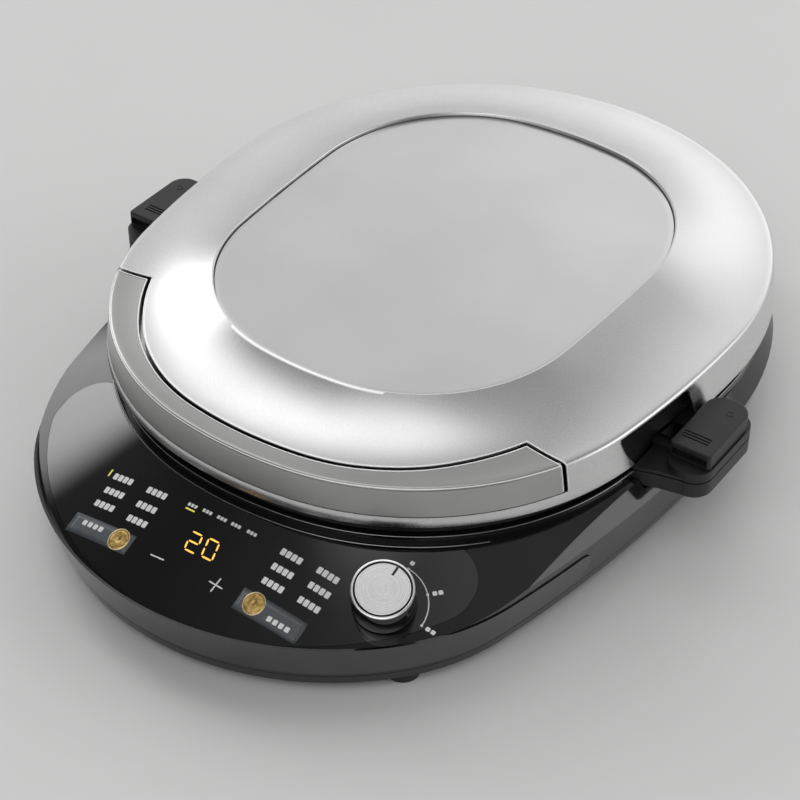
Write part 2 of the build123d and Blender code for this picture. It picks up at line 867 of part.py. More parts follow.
with BuildPart() as lower_clips:
    add(clips(lower_tube_z, lower_reflector_top, lower_element.part))
lower_clips.part.label = "lower_clips"
export_step(lower_clips.part, "parts/lower_clips.step")

# Lower sensor on its spring, and the thermal fuse
sensor_low = lower_under_z - seat_gap - sensor_head
with BuildPart() as lower_sensor:
    add(sensor((sensor_low, sensor_low + sensor_head), (tray_z + 2 * tray_floor, sensor_low)))
lower_sensor.part.label = "lower_sensor"
export_step(lower_sensor.part, "parts/lower_sensor.step")

with BuildPart() as sensor_spring:
    with BuildLine(level(lower_reflector_top + spring_wire + shaft_gap)) as coil:
        Helix(pitch=(sensor_low - lower_reflector_top - 2 * spring_wire - 2 * shaft_gap) / spring_turns,
              height=sensor_low - lower_reflector_top - 2 * spring_wire - 2 * shaft_gap, radius=spring_radius)
    with BuildSketch(Plane(origin=coil.line @ 0, z_dir=coil.line % 0)):
        Circle(spring_wire)
    sweep(path=coil.line, is_frenet=True)
sensor_spring.part.label = "sensor_spring"
export_step(sensor_spring.part, "parts/sensor_spring.step")

with BuildPart() as thermal_fuse:
    with BuildSketch(Plane.YZ.offset(fuse_spot[0] - fuse_length / 2)):
        with Locations((lid_y + fuse_spot[1], lower_reflector_top + fuse_radius)):
            Circle(fuse_radius)
    extrude(amount=fuse_length)
thermal_fuse.part.label = "thermal_fuse"
export_step(thermal_fuse.part, "parts/thermal_fuse.step")


# A lift-out plate: rim with a lug on each side, and a shallow pan
def pan_form(open_inset, open_z, far_inset, far_z):
    if far_z > open_z:
        return drafted(lid_plan, -open_inset, open_z, -far_inset, far_z)
    return drafted(lid_plan, -far_inset, far_z, -open_inset, open_z)


def plate(rim_low, rim_high, pocket_z, far_z, lean):
    direction = 1 if far_z > rim_high else -1
    open_z = rim_low if direction > 0 else rim_high
    lug_low = rim_high - lug_thickness if direction > 0 else rim_low
    with BuildPart() as pan:
        add(slab(lid_plan, -plate_flange, rim_low, rim_high))
        add(pan_form(pan_inset, open_z, pan_inset + lean, far_z))
        add(pan_form(pan_inset + plate_wall, open_z, pan_inset + plate_wall + lean, pocket_z),
            mode=Mode.SUBTRACT)
        for side in (-1, 1):
            add(box((side * lug_inner, side * lug_reach), across(handle_y, lug_width),
                    (lug_low, lug_low + lug_thickness)))
        add(rods(lug_screws, screw_radius + shaft_gap, lug_low, lug_low + lug_thickness), mode=Mode.SUBTRACT)
    return pan.part


# Countersunk screws through a lug into its handle
def sunk_screws(spots, face_z, length, direction):
    with BuildPart() as group:
        for x, y in spots:
            with BuildSketch(level(face_z)):
                with Locations((x, y)):
                    Circle(head_radius)
            with BuildSketch(level(face_z + direction * sunk_height)):
                with Locations((x, y)):
                    Circle(screw_radius)
            loft()
        add(rods(spots, screw_radius, min(face_z, face_z + direction * length),
                 max(face_z, face_z + direction * length)))
    return group.part


def sunk_holes(spots, face_z, direction):
    with BuildPart() as group:
        for x, y in spots:
            with BuildSketch(level(face_z)):
                with Locations((x, y)):
                    Circle(head_radius + shaft_gap)
            with BuildSketch(level(face_z + direction * sunk_height)):
                with Locations((x, y)):
                    Circle(screw_radius + shaft_gap)
            loft()
    return group.part


lug_screws = both_sides([(lug_screw_x, handle_y - lug_screw_half), (lug_screw_x, handle_y + lug_screw_half)])
lower_lug_top = ledge_z + lug_thickness
upper_lug_low = upper_flange_top - lug_thickness

with BuildPart() as lower_plate:
    add(plate(ledge_z, part_z, lower_floor_z, lower_under_z, lower_lean))
    add(sunk_holes(lug_screws, lower_lug_top, -1), mode=Mode.SUBTRACT)
lower_plate.part.label = "lower_plate"
export_step(lower_plate.part, "parts/lower_plate.step")

with BuildPart() as upper_plate:
    add(plate(upper_low, upper_flange_top, upper_low + upper_depth, upper_over_z, upper_lean))
    add(sunk_holes(lug_screws, upper_lug_low, 1), mode=Mode.SUBTRACT)
upper_plate.part.label = "upper_plate"
export_step(upper_plate.part, "parts/upper_plate.step")

for name, side in (("left", -1), ("right", 1)):
    side_screws = [spot for spot in lug_screws if side * spot[0] > 0]

    # Handle of the lower plate, with a seat for the lug in its top
    with BuildPart() as lower_handle:
        add(handle_block(side, lower_handle_z, ring_z))
        chamfer(lower_handle.faces().sort_by(Axis.Z)[0].edges(), handle_edge_round)
        add(box((side * (handle_inner - lug_width), side * (lug_reach + seat_gap)),
                across(handle_y, lug_width, seat_gap),
                (ledge_z, part_z)), mode=Mode.SUBTRACT)
        add(rods(side_screws, screw_radius + shaft_gap, ledge_z - lug_screw_length, ledge_z),
            mode=Mode.SUBTRACT)
    lower_handle.part.label = "lower_handle_" + name
    export_step(lower_handle.part, "parts/lower_handle_" + name + ".step")

    # Handle of the upper plate: a raised pad carries the latch
    with BuildPart() as upper_handle:
        add(handle_block(side, upper_low, upper_low + root_thickness))
        add(handle_pad(side))
        add(box((side * (handle_inner - lug_width), side * (lug_reach + seat_gap)),
                across(handle_y, lug_width, seat_gap),
                (part_z, upper_flange_top)), mode=Mode.SUBTRACT)
        add(rods(side_screws, screw_radius + shaft_gap, upper_flange_top,
                 upper_flange_top + lug_screw_length), mode=Mode.SUBTRACT)
        add(box(across(tongue_x, tongue_size[0], slide_gap, side),
                slid(tongue_y, tongue_size[1], latch_travel, slide_gap),
                (upper_low, crest_z)), mode=Mode.SUBTRACT)
        add(box(across(tongue_x, tongue_foot[0], slide_gap, side),
                slid(tongue_y, tongue_foot[1], latch_travel, slide_gap),
                (upper_low, tongue_foot_top + slide_gap)), mode=Mode.SUBTRACT)
    upper_handle.part.label = "upper_handle_" + name
    export_step(upper_handle.part, "parts/upper_handle_" + name + ".step")

    # Latch slider with its tongue in the handle, finger grooves and a notch under its front edge
    with BuildPart() as slider:
        add(box((side * latch_inner, side * latch_outer), (latch_front, latch_back), (latch_low, latch_top)))
        upright = slider.edges().filter_by(Axis.Z).sort_by(Axis.Y)
        fillet(upright[:2], latch_front_corner)
        fillet(slider.edges().filter_by(Axis.Z).sort_by(Axis.Y)[-2:], latch_corner)
        fillet(slider.faces().sort_by(Axis.Z)[-1].edges(), latch_round)
        add(box((side * latch_notch[0], side * latch_notch[1]), (latch_front - 1, latch_front + latch_notch_depth),
                latch_notch_z), mode=Mode.SUBTRACT)
        for step in range(grip_grooves):
            y = groove_y + step * groove_pitch
            add(box((side * groove_x[0], side * groove_x[1]), across(y, groove_width),
                    across(latch_top, 2 * groove_depth)), mode=Mode.SUBTRACT)
        add(box(across(tongue_x, tongue_size[0], 0, side), across(tongue_y, tongue_size[1]),
                (tongue_foot_top, latch_low + bolt_thickness)))
        add(box(across(tongue_x, tongue_foot[0], 0, side), across(tongue_y, tongue_foot[1]),
                (tongue_foot_top - tongue_foot[2], tongue_foot_top)))
        add(box((side * (latch_inner - seat_gap), side * bolt_outer),
                (bolt_y - bolt_width / 2, bolt_y + bolt_width / 2), (latch_low, latch_low + bolt_thickness)),
            mode=Mode.SUBTRACT)
    slider.part.label = "latch_slider_" + name
    export_step(slider.part, "parts/latch_slider_" + name + ".step")

    # Latch bolt, held in the slider; its hook rests on the frame of the lid
    with BuildPart() as bolt:
        add(box((side * bolt_shoulder, side * bolt_outer),
                (bolt_y - bolt_width / 2, bolt_y + bolt_width / 2), (latch_low, latch_low + bolt_thickness)))
        add(box((side * hook_inner, side * bolt_shoulder),
                (bolt_y - hook_width / 2, bolt_y + hook_width / 2), (latch_low, latch_low + bolt_thickness)))
    bolt.part.label = "latch_bolt_" + name
    export_step(bolt.part, "parts/latch_bolt_" + name + ".step")

with BuildPart() as lower_handle_screws:
    add(sunk_screws(lug_screws, lower_lug_top, lug_screw_length, -1))
lower_handle_screws.part.label = "lower_handle_screws"
export_step(lower_handle_screws.part, "parts/lower_handle_screws.step")

with BuildPart() as upper_handle_screws:
    add(sunk_screws(lug_screws, upper_lug_low, lug_screw_length, 1))
upper_handle_screws.part.label = "upper_handle_screws"
export_step(upper_handle_screws.part, "parts/upper_handle_screws.step")


# Forms of the lid: flared skirt, a small round at the rim and a swoop up to the crest round the middle panel
def lid_form(inset, drop):
    sections = [(lid_plan, skirt_flare - inset, skirt_z), (lid_plan, -inset, rim_z - rim_round - drop)]
    for step in range(swoop_steps + 1):
        share = step / swoop_steps
        sections.append((blend_arcs(lid_plan, panel_plan, share), -rim_round * (1 - share) - inset,
                         rim_z + (crest_z - rim_z) * share ** swoop_power - drop))
    return ruled_form(*sections)


def lid_layer(near, far):
    with BuildPart() as layer:
        add(lid_form(near, near))
        add(lid_form(far, far), mode=Mode.SUBTRACT)
    return layer.part


def front_handle_zone(grow, low):
    # Band along the front rim that widens to a point at each end
    horn = [corner_spot(0, turn, inset + grow) for turn, inset in front_handle_horn]
    tip_y = corner_spot(0, *front_handle_tip)[1] + grow
    far_x = 2 * lid_half_width
    with BuildPart() as zone:
        with BuildLine() as edge:
            Spline(*horn)
            Polyline(horn[-1], (far_x, horn[-1][1]), (far_x, horn[0][1]), horn[0])
        with BuildSketch(level(low)):
            rounded_plan(lid_plan, 2 * skirt_flare)
            rounded_plan(lid_plan, -front_handle_width - grow, mode=Mode.SUBTRACT)
            make_face(edge.edges())
            mirror(about=Plane.YZ)
            with Locations((0, tip_y - 2 * lid_front)):
                Rectangle(4 * far_x, 4 * lid_front, mode=Mode.INTERSECT)
        extrude(amount=crest_z)
    return zone.part


def side_recess(side, near, far, low, high, margin=0.0):
    # Pocket in the side of the lid between two offsets of its plan
    with BuildPart() as pocket:
        add(slab(lid_plan, -near, low, high))
        add(slab(lid_plan, -far, low, high), mode=Mode.SUBTRACT)
        add(box((0, side * 2 * lid_half_width), (recess_front - margin, recess_back + margin), (low, high)),
            mode=Mode.INTERSECT)
    return pocket.part


def side_liner(side):
    # Wall behind the pocket and a rib at each end of it, under the shell
    with BuildPart() as liner:
        add(side_recess(side, recess_inset, recess_inset + recess_wall, recess_liner_z, crest_z))
        add(side_recess(side, frame_inset, frame_wall_inset, frame_flange_z, crest_z, recess_wall))
        add(side_recess(side, recess_inset + recess_wall, frame_wall_inset, recess_liner_z, crest_z),
            mode=Mode.SUBTRACT)
        add(side_recess(side, -2 * skirt_flare, recess_inset, recess_liner_z, crest_z), mode=Mode.SUBTRACT)
        add(lid_form(lid_wall + seat_gap, lid_wall + seat_gap), mode=Mode.INTERSECT)
    return liner.part


panel_floor = crest_z - panel_drop - panel_thickness
lid_posts = both_sides([corner_spot(end, turn, lid_post_inset) for end, turn in lid_post_turns])
handle_posts = both_sides([corner_spot(0, turn, handle_post_inset) for turn in handle_post_turns])
arm_screws = [(side * arm_x, y) for side in (-1, 1) for y in arm_screw_y]
ring_low = upper_flange_top + seat_gap
frame_bore = frame_wall_inset + frame_wall
screw_seat = frame_flange_z - screw_seat_depth

# Posts that reach up into the lid, with their screw holes
def posts(spots, radius, wall):
    with BuildPart() as group:
        add(rods(spots, radius, frame_top, rim_z - wall / 2))
        add(rods(spots, screw_radius + shaft_gap, skirt_z, screw_seat + lid_screw_length + piece_gap),
            mode=Mode.SUBTRACT)
    return group.part


def seated_screws(spots):
    with BuildPart() as group:
        add(rods(spots, head_radius, screw_seat - head_height, screw_seat))
        add(rods(spots, screw_radius, screw_seat, screw_seat + lid_screw_length))
    return group.part


# Cut-out in the skirt above a side handle
def side_cut(side):
    outline = [(lid_y + recess_low_y[0], recess_low_z), (lid_y + recess_high_y[0], recess_bend_z),
               (lid_y + recess_high_y[0], recess_top), (lid_y + recess_high_y[1], recess_top),
               (lid_y + recess_low_y[1], recess_low_z)]
    with BuildPart() as prism:
        with BuildSketch(Plane.YZ) as cut:
            with BuildLine() as edge:
                Polyline(*outline, close=True)
            make_face(edge.edges())
            fillet([v for v in cut.vertices() if abs(v.Z - recess_bend_z) < seat_gap], recess_front_bend)
            fillet([v for v in cut.vertices() if abs(v.Z - recess_top) < seat_gap and v.Y > lid_y + recess_front / 2],
                   recess_back_bend)
        extrude(amount=side * 2 * lid_half_width)
    return prism.part


# Lid shell with the cut-outs above the side handles and posts for its screws
with BuildPart() as lid_shell:
    add(lid_layer(0.0, lid_wall))
    add(slab(panel_plan, lid_wall - crest_lip, panel_floor - lid_wall, crest_z - lid_wall))
    add(slab(panel_plan, -crest_lip, panel_floor, crest_z + crest_lip), mode=Mode.SUBTRACT)
    add(front_handle_zone(0.0, front_handle_low - front_handle_foot_gap), mode=Mode.SUBTRACT)
    for side in (-1, 1):
        add(side_cut(side), mode=Mode.SUBTRACT)
    add(posts(lid_posts, lid_post_radius, lid_wall))
lid_shell.part.label = "lid_shell"
export_step(lid_shell.part, "parts/lid_shell.step")

# Inlay of the raised middle
with BuildPart() as lid_panel:
    add(slab(panel_plan, -crest_lip - panel_gap, panel_floor, panel_floor + panel_thickness))
lid_panel.part.label = "lid_panel"
export_step(lid_panel.part, "parts/lid_panel.step")

# Front handle: an angled cover that follows the rim, with a flange under the edge of the shell
with BuildPart() as handle_flange:
    add(lid_layer(flange_drop, front_handle_wall))
    add(front_handle_zone(front_handle_flange, frame_top + seat_gap), mode=Mode.INTERSECT)

with BuildPart() as front_handle:
    add(lid_layer(0.0, front_handle_wall))
    add(front_handle_zone(-front_handle_gap, front_handle_low), mode=Mode.INTERSECT)
    add(handle_flange.part)
    add(posts(handle_posts, lid_post_radius, front_handle_wall))
front_handle.part.label = "front_handle"
export_step(front_handle.part, "parts/front_handle.step")

# Frame of the lid: ring that bears on the upper plate, screw flange, inner wall, side pockets and hinge pads
with BuildPart() as lid_frame:
    add(slab(lid_plan, -frame_inset, frame_low, frame_flange_z))
    add(slab(lid_plan, frame_flange_grow, frame_flange_z, frame_top))
    add(slab(lid_plan, -frame_wall_inset, frame_top, reflector_z))
    for side in (-1, 1):
        add(box((side * (arm_x - hinge_pad_width / 2), side * (arm_x + hinge_pad_width / 2)),
                (arm_front - slide_gap - frame_wall, lid_back - frame_inset), (frame_low, frame_flange_z)))
    add(slab(lid_plan, -frame_lip_inset, 0, ring_low), mode=Mode.SUBTRACT)
    add(slab(lid_plan, -frame_bore, 0, crest_z), mode=Mode.SUBTRACT)
    for side in (-1, 1):
        add(handle_block(side, frame_low - seat_gap, frame_flange_z, handle_gap), mode=Mode.SUBTRACT)
        add(lug_space(side, 0, ring_low), mode=Mode.SUBTRACT)
        add(side_recess(side, -2 * skirt_flare, recess_inset, frame_flange_z, crest_z), mode=Mode.SUBTRACT)
        add(side_liner(side))
        add(box((side * (hook_inner - piece_gap), side * (bolt_shoulder + piece_gap)),
                (bolt_y - hook_width / 2 - latch_travel - piece_gap, bolt_y + hook_width / 2 + piece_gap),
                (latch_low - slide_gap, latch_low + bolt_thickness + slide_gap)), mode=Mode.SUBTRACT)
        add(box((side * (hook_inner - piece_gap), side * (bolt_shoulder + piece_gap)),
                (bolt_y - hook_width / 2 - latch_travel - piece_gap, bolt_y - hook_width / 2 - piece_gap),
                (0, latch_low + bolt_thickness)), mode=Mode.SUBTRACT)
        add(box(across(arm_x, arm_width, slide_gap, side), (arm_front - slide_gap, lid_back + frame_inset),
                (0, arm_high + shaft_gap)), mode=Mode.SUBTRACT)
    for spots in (lid_posts, handle_posts):
        add(rods(spots, screw_radius + shaft_gap, 0, crest_z), mode=Mode.SUBTRACT)
        add(rods(spots, head_radius + seat_gap, 0, screw_seat), mode=Mode.SUBTRACT)
    add(rods(arm_screws, screw_radius + shaft_gap, 0, crest_z), mode=Mode.SUBTRACT)
lid_frame.part.label = "lid_frame"
export_step(lid_frame.part, "parts/lid_frame.step")

with BuildPart() as lid_screws:
    add(seated_screws(lid_posts))
lid_screws.part.label = "lid_screws"
export_step(lid_screws.part, "parts/lid_screws.step")

with BuildPart() as front_handle_screws:
    add(seated_screws(handle_posts))
front_handle_screws.part.label = "front_handle_screws"
export_step(front_handle_screws.part, "parts/front_handle_screws.step")

# Upper reflector, element with its clips and terminal block, and sensor
with BuildPart() as upper_reflector:
    add(slab(lid_plan, -frame_wall_inset - piece_gap, reflector_z, reflector_z + reflector_thickness))
    add(rods([(0, 0)], sensor_stem_radius + sensor_hole_gap, reflector_z - reflector_thickness, crest_z),
        mode=Mode.SUBTRACT)
upper_reflector.part.label = "upper_reflector"
export_step(upper_reflector.part, "parts/upper_reflector.step")

with BuildPart() as upper_element:
    add(heating_tube(upper_tube_z))
upper_element.part.label = "upper_element"
export_step(upper_element.part, "parts/upper_element.step")

with BuildPart() as upper_terminal:
    add(terminal_block(upper_tube_z, reflector_z))
upper_terminal.part.label = "upper_terminal"
export_step(upper_terminal.part, "parts/upper_terminal.step")

with BuildPart() as upper_clips:
    add(clips(upper_tube_z, reflector_z, upper_element.part))
upper_clips.part.label = "upper_clips"
export_step(upper_clips.part, "parts/upper_clips.step")

with BuildPart() as upper_sensor:
    add(sensor((upper_over_z + seat_gap, upper_over_z + seat_gap + sensor_head),
               (upper_over_z + seat_gap, reflector_z + 2 * sensor_head)))
upper_sensor.part.label = "upper_sensor"
export_step(upper_sensor.part, "parts/upper_sensor.step")

# Hinge arms on the lid, with the knuckles that turn on the shaft
for name, side in (("left", -1), ("right", 1)):
    near_x = arm_x - arm_width / 2
    with BuildPart() as arm:
        add(box((side * near_x, side * (near_x + arm_width)), (arm_front, hinge_y), (arm_low, arm_high)))
        with BuildSketch(Plane.YZ.offset(side * near_x)):
            with Locations((lid_y + hinge_y, hinge_z)):
                Circle(knuckle_radius)
        extrude(amount=side * arm_width)
        with BuildSketch(Plane.YZ.offset(side * near_x)):
            with Locations((lid_y + hinge_y, hinge_z)):
                Circle(hinge_shaft_radius + shaft_gap)
        extrude(amount=side * arm_width, mode=Mode.SUBTRACT)
        side_screws = [spot for spot in arm_screws if side * spot[0] > 0]
        add(rods(side_screws, screw_radius + shaft_gap, arm_low, arm_high), mode=Mode.SUBTRACT)
        add(sunk_holes(side_screws, arm_low, 1), mode=Mode.SUBTRACT)
    arm.part.label = "hinge_arm_" + name
    export_step(arm.part, "parts/hinge_arm_" + name + ".step")

    # Carrier: a leg with a round head, and a foot that stops it at the top of its guide
    with BuildPart() as carrier:
        add(box((side * (carrier_x - carrier_width / 2), side * (carrier_x + carrier_width / 2)),
                (hinge_y - carrier_depth / 2, hinge_y + carrier_depth / 2), (carrier_low, hinge_z)))
        add(box((side * (carrier_x - carrier_width / 2), side * (carrier_x + carrier_width / 2)),
                (hinge_y - carrier_depth / 2 - foot_overhang, hinge_y + carrier_depth / 2 + foot_overhang),
                (carrier_low, carrier_low + carrier_foot)))
        with BuildSketch(Plane.YZ.offset(side * (carrier_x - carrier_width / 2))):
            with Locations((lid_y + hinge_y, hinge_z)):
                Circle(knuckle_radius)
        extrude(amount=side * carrier_width)
        with BuildSketch(Plane.YZ.offset(side * (carrier_x - carrier_width / 2))):
            with Locations((lid_y + hinge_y, hinge_z)):
                Circle(hinge_shaft_radius + shaft_gap)
        extrude(amount=side * carrier_width, mode=Mode.SUBTRACT)
    carrier.part.label = "hinge_carrier_" + name
    export_step(carrier.part, "parts/hinge_carrier_" + name + ".step")

    # Guide that the carrier floats in; its throat holds the foot back
    guide_x = across(carrier_x, carrier_width, slide_gap, side)
    wide = carrier_depth / 2 + foot_overhang + slide_gap
    throat = carrier_depth / 2 + slide_gap
    with BuildPart() as guide:
        add(box((guide_x[0] - side * guide_wall, guide_x[1] + side * guide_wall),
                (hinge_y - wide - guide_wall, hinge_y + wide + guide_wall), (guide_low, guide_high)))
        add(box(guide_x, (hinge_y - wide, hinge_y + wide),
                (carrier_low - slide_gap, carrier_low + carrier_foot + hinge_lift + slide_gap)),
            mode=Mode.SUBTRACT)
        add(box(guide_x, (hinge_y - throat, hinge_y + throat), (carrier_low, crest_z)), mode=Mode.SUBTRACT)
    guide.part.label = "hinge_guide_" + name
    export_step(guide.part, "parts/hinge_guide_" + name + ".step")

with BuildPart() as hinge_screws:
    add(sunk_screws(arm_screws, arm_low, frame_screw_length, 1))
hinge_screws.part.label = "hinge_screws"
export_step(hinge_screws.part, "parts/hinge_screws.step")

with BuildPart() as hinge_shaft:
    with BuildSketch(Plane.YZ.offset(-hinge_shaft_half)):
        with Locations((lid_y + hinge_y, hinge_z)):
            Circle(hinge_shaft_radius)
    extrude(amount=2 * hinge_shaft_half)
hinge_shaft.part.label = "hinge_shaft"
export_step(hinge_shaft.part, "parts/hinge_shaft.step")

# Cover behind the base round the guides, with slots for the carriers and a hole for the cord's gland
with BuildPart() as hinge_cover:
    add(rounded_bar((-cover_half_width, cover_half_width), (cover_front - cover_corner, cover_back),
                    (cover_low, cover_high), cover_corner))
    add(rounded_bar((cover_wall - cover_half_width, cover_half_width - cover_wall),
                    (cover_front - cover_corner, cover_back - cover_wall),
                    (cover_low + cover_wall, cover_high - cover_wall), cover_corner - cover_wall),
        mode=Mode.SUBTRACT)
    add(base_form(-seat_gap, -seat_gap, seam_z), mode=Mode.SUBTRACT)
    add(slab(lid_plan, seat_gap - ring_inset, deck_z - base_wall - seat_gap, crest_z), mode=Mode.SUBTRACT)
    for side in (-1, 1):
        add(box(across(carrier_x, carrier_width, piece_gap, side), across(hinge_y, carrier_depth, piece_gap),
                (guide_high - piece_gap, crest_z)), mode=Mode.SUBTRACT)
    with BuildSketch(Plane.XZ.offset(-lid_y - cover_back)):
        with Locations((0, gland_z)):
            Circle(gland_radius + shaft_gap)
    extrude(amount=2 * cover_wall, mode=Mode.SUBTRACT)
hinge_cover.part.label = "hinge_cover"
export_step(hinge_cover.part, "parts/hinge_cover.step")

with BuildPart() as cord_gland:
    with BuildSketch(Plane.XZ.offset(-lid_y - cover_back)):
        with Locations((0, gland_z)):
            Circle(gland_radius)
    extrude(amount=gland_length)
    with BuildSketch(Plane.XZ.offset(-lid_y - cover_back + cover_wall)):
        with Locations((0, gland_z)):
            Circle(gland_flange_radius)
    extrude(amount=gland_flange)
    with BuildSketch(Plane.XZ.offset(-lid_y - cover_back)):
        with Locations((0, gland_z)):
            Circle(gland_bore_radius)
    extrude(amount=gland_length, mode=Mode.SUBTRACT)
cord_gland.part.label = "cord_gland"
export_step(cord_gland.part, "parts/cord_gland.step")
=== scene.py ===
# Electric baking pan: the looks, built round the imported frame. Metres, +Z up, the control deck to -Y.
import json
import math
import bmesh
import bpy
from mathutils import Matrix, Vector


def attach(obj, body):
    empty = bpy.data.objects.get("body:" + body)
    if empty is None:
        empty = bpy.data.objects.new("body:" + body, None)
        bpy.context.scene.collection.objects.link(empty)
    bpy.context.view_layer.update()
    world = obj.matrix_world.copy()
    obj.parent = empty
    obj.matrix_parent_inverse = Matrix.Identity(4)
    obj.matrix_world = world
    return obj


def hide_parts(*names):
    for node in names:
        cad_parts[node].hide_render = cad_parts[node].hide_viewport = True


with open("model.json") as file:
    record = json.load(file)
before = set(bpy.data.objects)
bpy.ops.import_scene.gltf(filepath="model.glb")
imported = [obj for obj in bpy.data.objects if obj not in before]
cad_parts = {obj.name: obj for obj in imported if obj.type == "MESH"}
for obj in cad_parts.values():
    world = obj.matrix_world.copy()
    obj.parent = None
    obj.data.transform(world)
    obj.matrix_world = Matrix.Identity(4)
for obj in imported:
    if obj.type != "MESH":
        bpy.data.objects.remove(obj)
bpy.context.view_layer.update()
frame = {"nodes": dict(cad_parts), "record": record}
cadNodes = frame["nodes"]
scene = bpy.context.scene
scene.view_settings.view_transform = "Standard"
mm = 0.001
weldReach = 2e-6  # metres
tiny, small = 1e-9, 1e-6  # slack in comparisons, in degrees or millimetres
lidY = 19.5  # the plans below are drawn about the middle of the lid

lidPlan = {"half": 165.0, "front": 189.5, "back": 199.6, "corners": (147.7, 157.0),
           "sideBows": (6.2, 3.5), "endBows": (0.8, 1.0)}
panelPlan = {"half": 108.0, "front": 130.7, "back": 137.4, "corners": (92.0, 88.5),
             "sideBows": (2.8, 2.0), "endBows": (0.8, 1.2)}
cornerLimit = 0.97  # share of the half width that a corner may take
widestShare = 0.9  # where the sides are widest, from the front corners to the back ones


def planArcs(plan):
    # right half from front to back: centre, radius, first and last turn in degrees
    spots = []
    for sign, reach, corner, sideBow, endBow in zip((-1, 1), (plan["front"], plan["back"]), plan["corners"],
                                                    plan["sideBows"], plan["endBows"]):
        radius = min(corner, cornerLimit * (plan["half"] - sideBow))
        spots.append((plan["half"] - sideBow - radius, sign * (reach - endBow - radius), radius))
    sideY = spots[0][1] + widestShare * (spots[1][1] - spots[0][1])
    arcs = []
    for sign, (x, y, radius), reach, sideBow, endBow in zip((-1, 1), spots, (plan["front"], plan["back"]),
                                                            plan["sideBows"], plan["endBows"]):
        sideRadius = (sideBow * (sideBow + 2 * radius) + (y - sideY) ** 2) / (2 * sideBow)
        endRadius = (endBow * (endBow + 2 * radius) + x * x) / (2 * endBow)
        sideX, endY = plan["half"] - sideRadius, sign * (reach - endRadius)
        endTurn = math.degrees(math.atan2(y - endY, x))
        sideTurn = math.degrees(math.atan2(y - sideY, x - sideX))
        group = [(0.0, endY, endRadius, 90.0 * sign, endTurn), (x, y, radius, endTurn, sideTurn),
                 (sideX, sideY, sideRadius, sideTurn, 0.0)]
        arcs += group if sign < 0 else [(a, b, r, stop, start) for a, b, r, start, stop in reversed(group)]
    return arcs


def arcAt(arcs, turn):
    # centre and radius of the outline at a turn
    for x, y, radius, _, stop in arcs:
        if turn <= stop + tiny:
            return x, y, radius
    return arcs[-1][:3]


def planSpot(arcs, turn, grow):
    x, y, radius = arcAt(arcs, turn)
    angle = math.radians(turn)
    return x + (radius + grow) * math.cos(angle), y + (radius + grow) * math.sin(angle)


def between(low, high, count):
    return [low + (high - low) * i / count for i in range(count + 1)]


def narrowed(low, high, isBelow):
    # halves a range until it holds only the place where isBelow changes
    for _ in range(50):
        middle = (low + high) / 2
        if isBelow(middle):
            low = middle
        else:
            high = middle
    return (low + high) / 2


def turnAtY(arcs, y, grow):
    return narrowed(-90.0, 90.0, lambda turn: planSpot(arcs, turn, grow)[1] < y)


def bothSides(line):
    # a line that starts in the middle, with its mirror image before it
    return [(-spot[0], *spot[1:]) for spot in reversed(line[1:])] + line


def loopOf(arcs, grow, z, steps=180):
    right = [planSpot(arcs, turn, grow) for turn in between(-90.0, 90.0, steps)]
    return [(x, y, z) for x, y in right + [(-x, y) for x, y in reversed(right[1:-1])]]


def circleSpots(x, y, radius, count):
    # the last spot lies on the first
    return [(x + radius * math.cos(a), y + radius * math.sin(a)) for a in between(0, 2 * math.pi, count)]


lidArcs = planArcs(lidPlan)
panelArcs = planArcs(panelPlan)


def newMaterial(name):
    material = bpy.data.materials.new(name)
    material.use_nodes = True
    tree = material.node_tree
    shader = next(n for n in tree.nodes if n.type == "BSDF_PRINCIPLED")
    return material, tree, shader


def addNode(tree, kind, values=None, **settings):
    node = tree.nodes.new(kind)
    for key, value in settings.items():
        setattr(node, key, value)
    for key, value in (values or {}).items():
        node.inputs[key].default_value = value
    return node


def wire(tree, *joins):
    # each join: a node, its output, the next node, its input
    for source, output, target, entry in joins:
        tree.links.new(source.outputs[output], target.inputs[entry])


def noiseOn(tree, scale, detail, stretch=(1, 1, 1)):
    place = addNode(tree, "ShaderNodeTexCoord")
    mapping = addNode(tree, "ShaderNodeMapping", {"Scale": stretch})
    noise = addNode(tree, "ShaderNodeTexNoise", {"Scale": scale, "Detail": detail, "Roughness": 0.5})
    wire(tree, (place, "Object", mapping, "Vector"), (mapping, "Vector", noise, "Vector"))
    return noise.outputs["Fac"]


def spread(tree, source, low, high, fromLow=0.3, fromHigh=0.7, **settings):
    values = {"From Min": fromLow, "From Max": fromHigh, "To Min": low, "To Max": high}
    node = addNode(tree, "ShaderNodeMapRange", values, **settings)
    tree.links.new(source, node.inputs["Value"])
    return node.outputs["Result"]


def twoTone(tree, source, first, second, low=0.35, high=0.65):
    ramp = addNode(tree, "ShaderNodeValToRGB")
    for stop, position, tone in zip(ramp.color_ramp.elements, (low, high), (first, second)):
        stop.position = position
        stop.color = (*tone, 1)
    tree.links.new(source, ramp.inputs["Fac"])
    return ramp.outputs["Color"]


def bumpOn(tree, shader, source, height):
    bump = addNode(tree, "ShaderNodeBump", {"Strength": 1.0, "Distance": height})
    tree.links.new(source, bump.inputs["Height"])
    wire(tree, (bump, "Normal", shader, "Normal"))


def dress(tree, shader, look, toneSource, roughSource):
    tree.links.new(twoTone(tree, toneSource, *look["tones"]), shader.inputs["Base Color"])
    tree.links.new(spread(tree, roughSource, *look["rough"]), shader.inputs["Roughness"])
    shader.inputs["Metallic"].default_value = look["metal"]


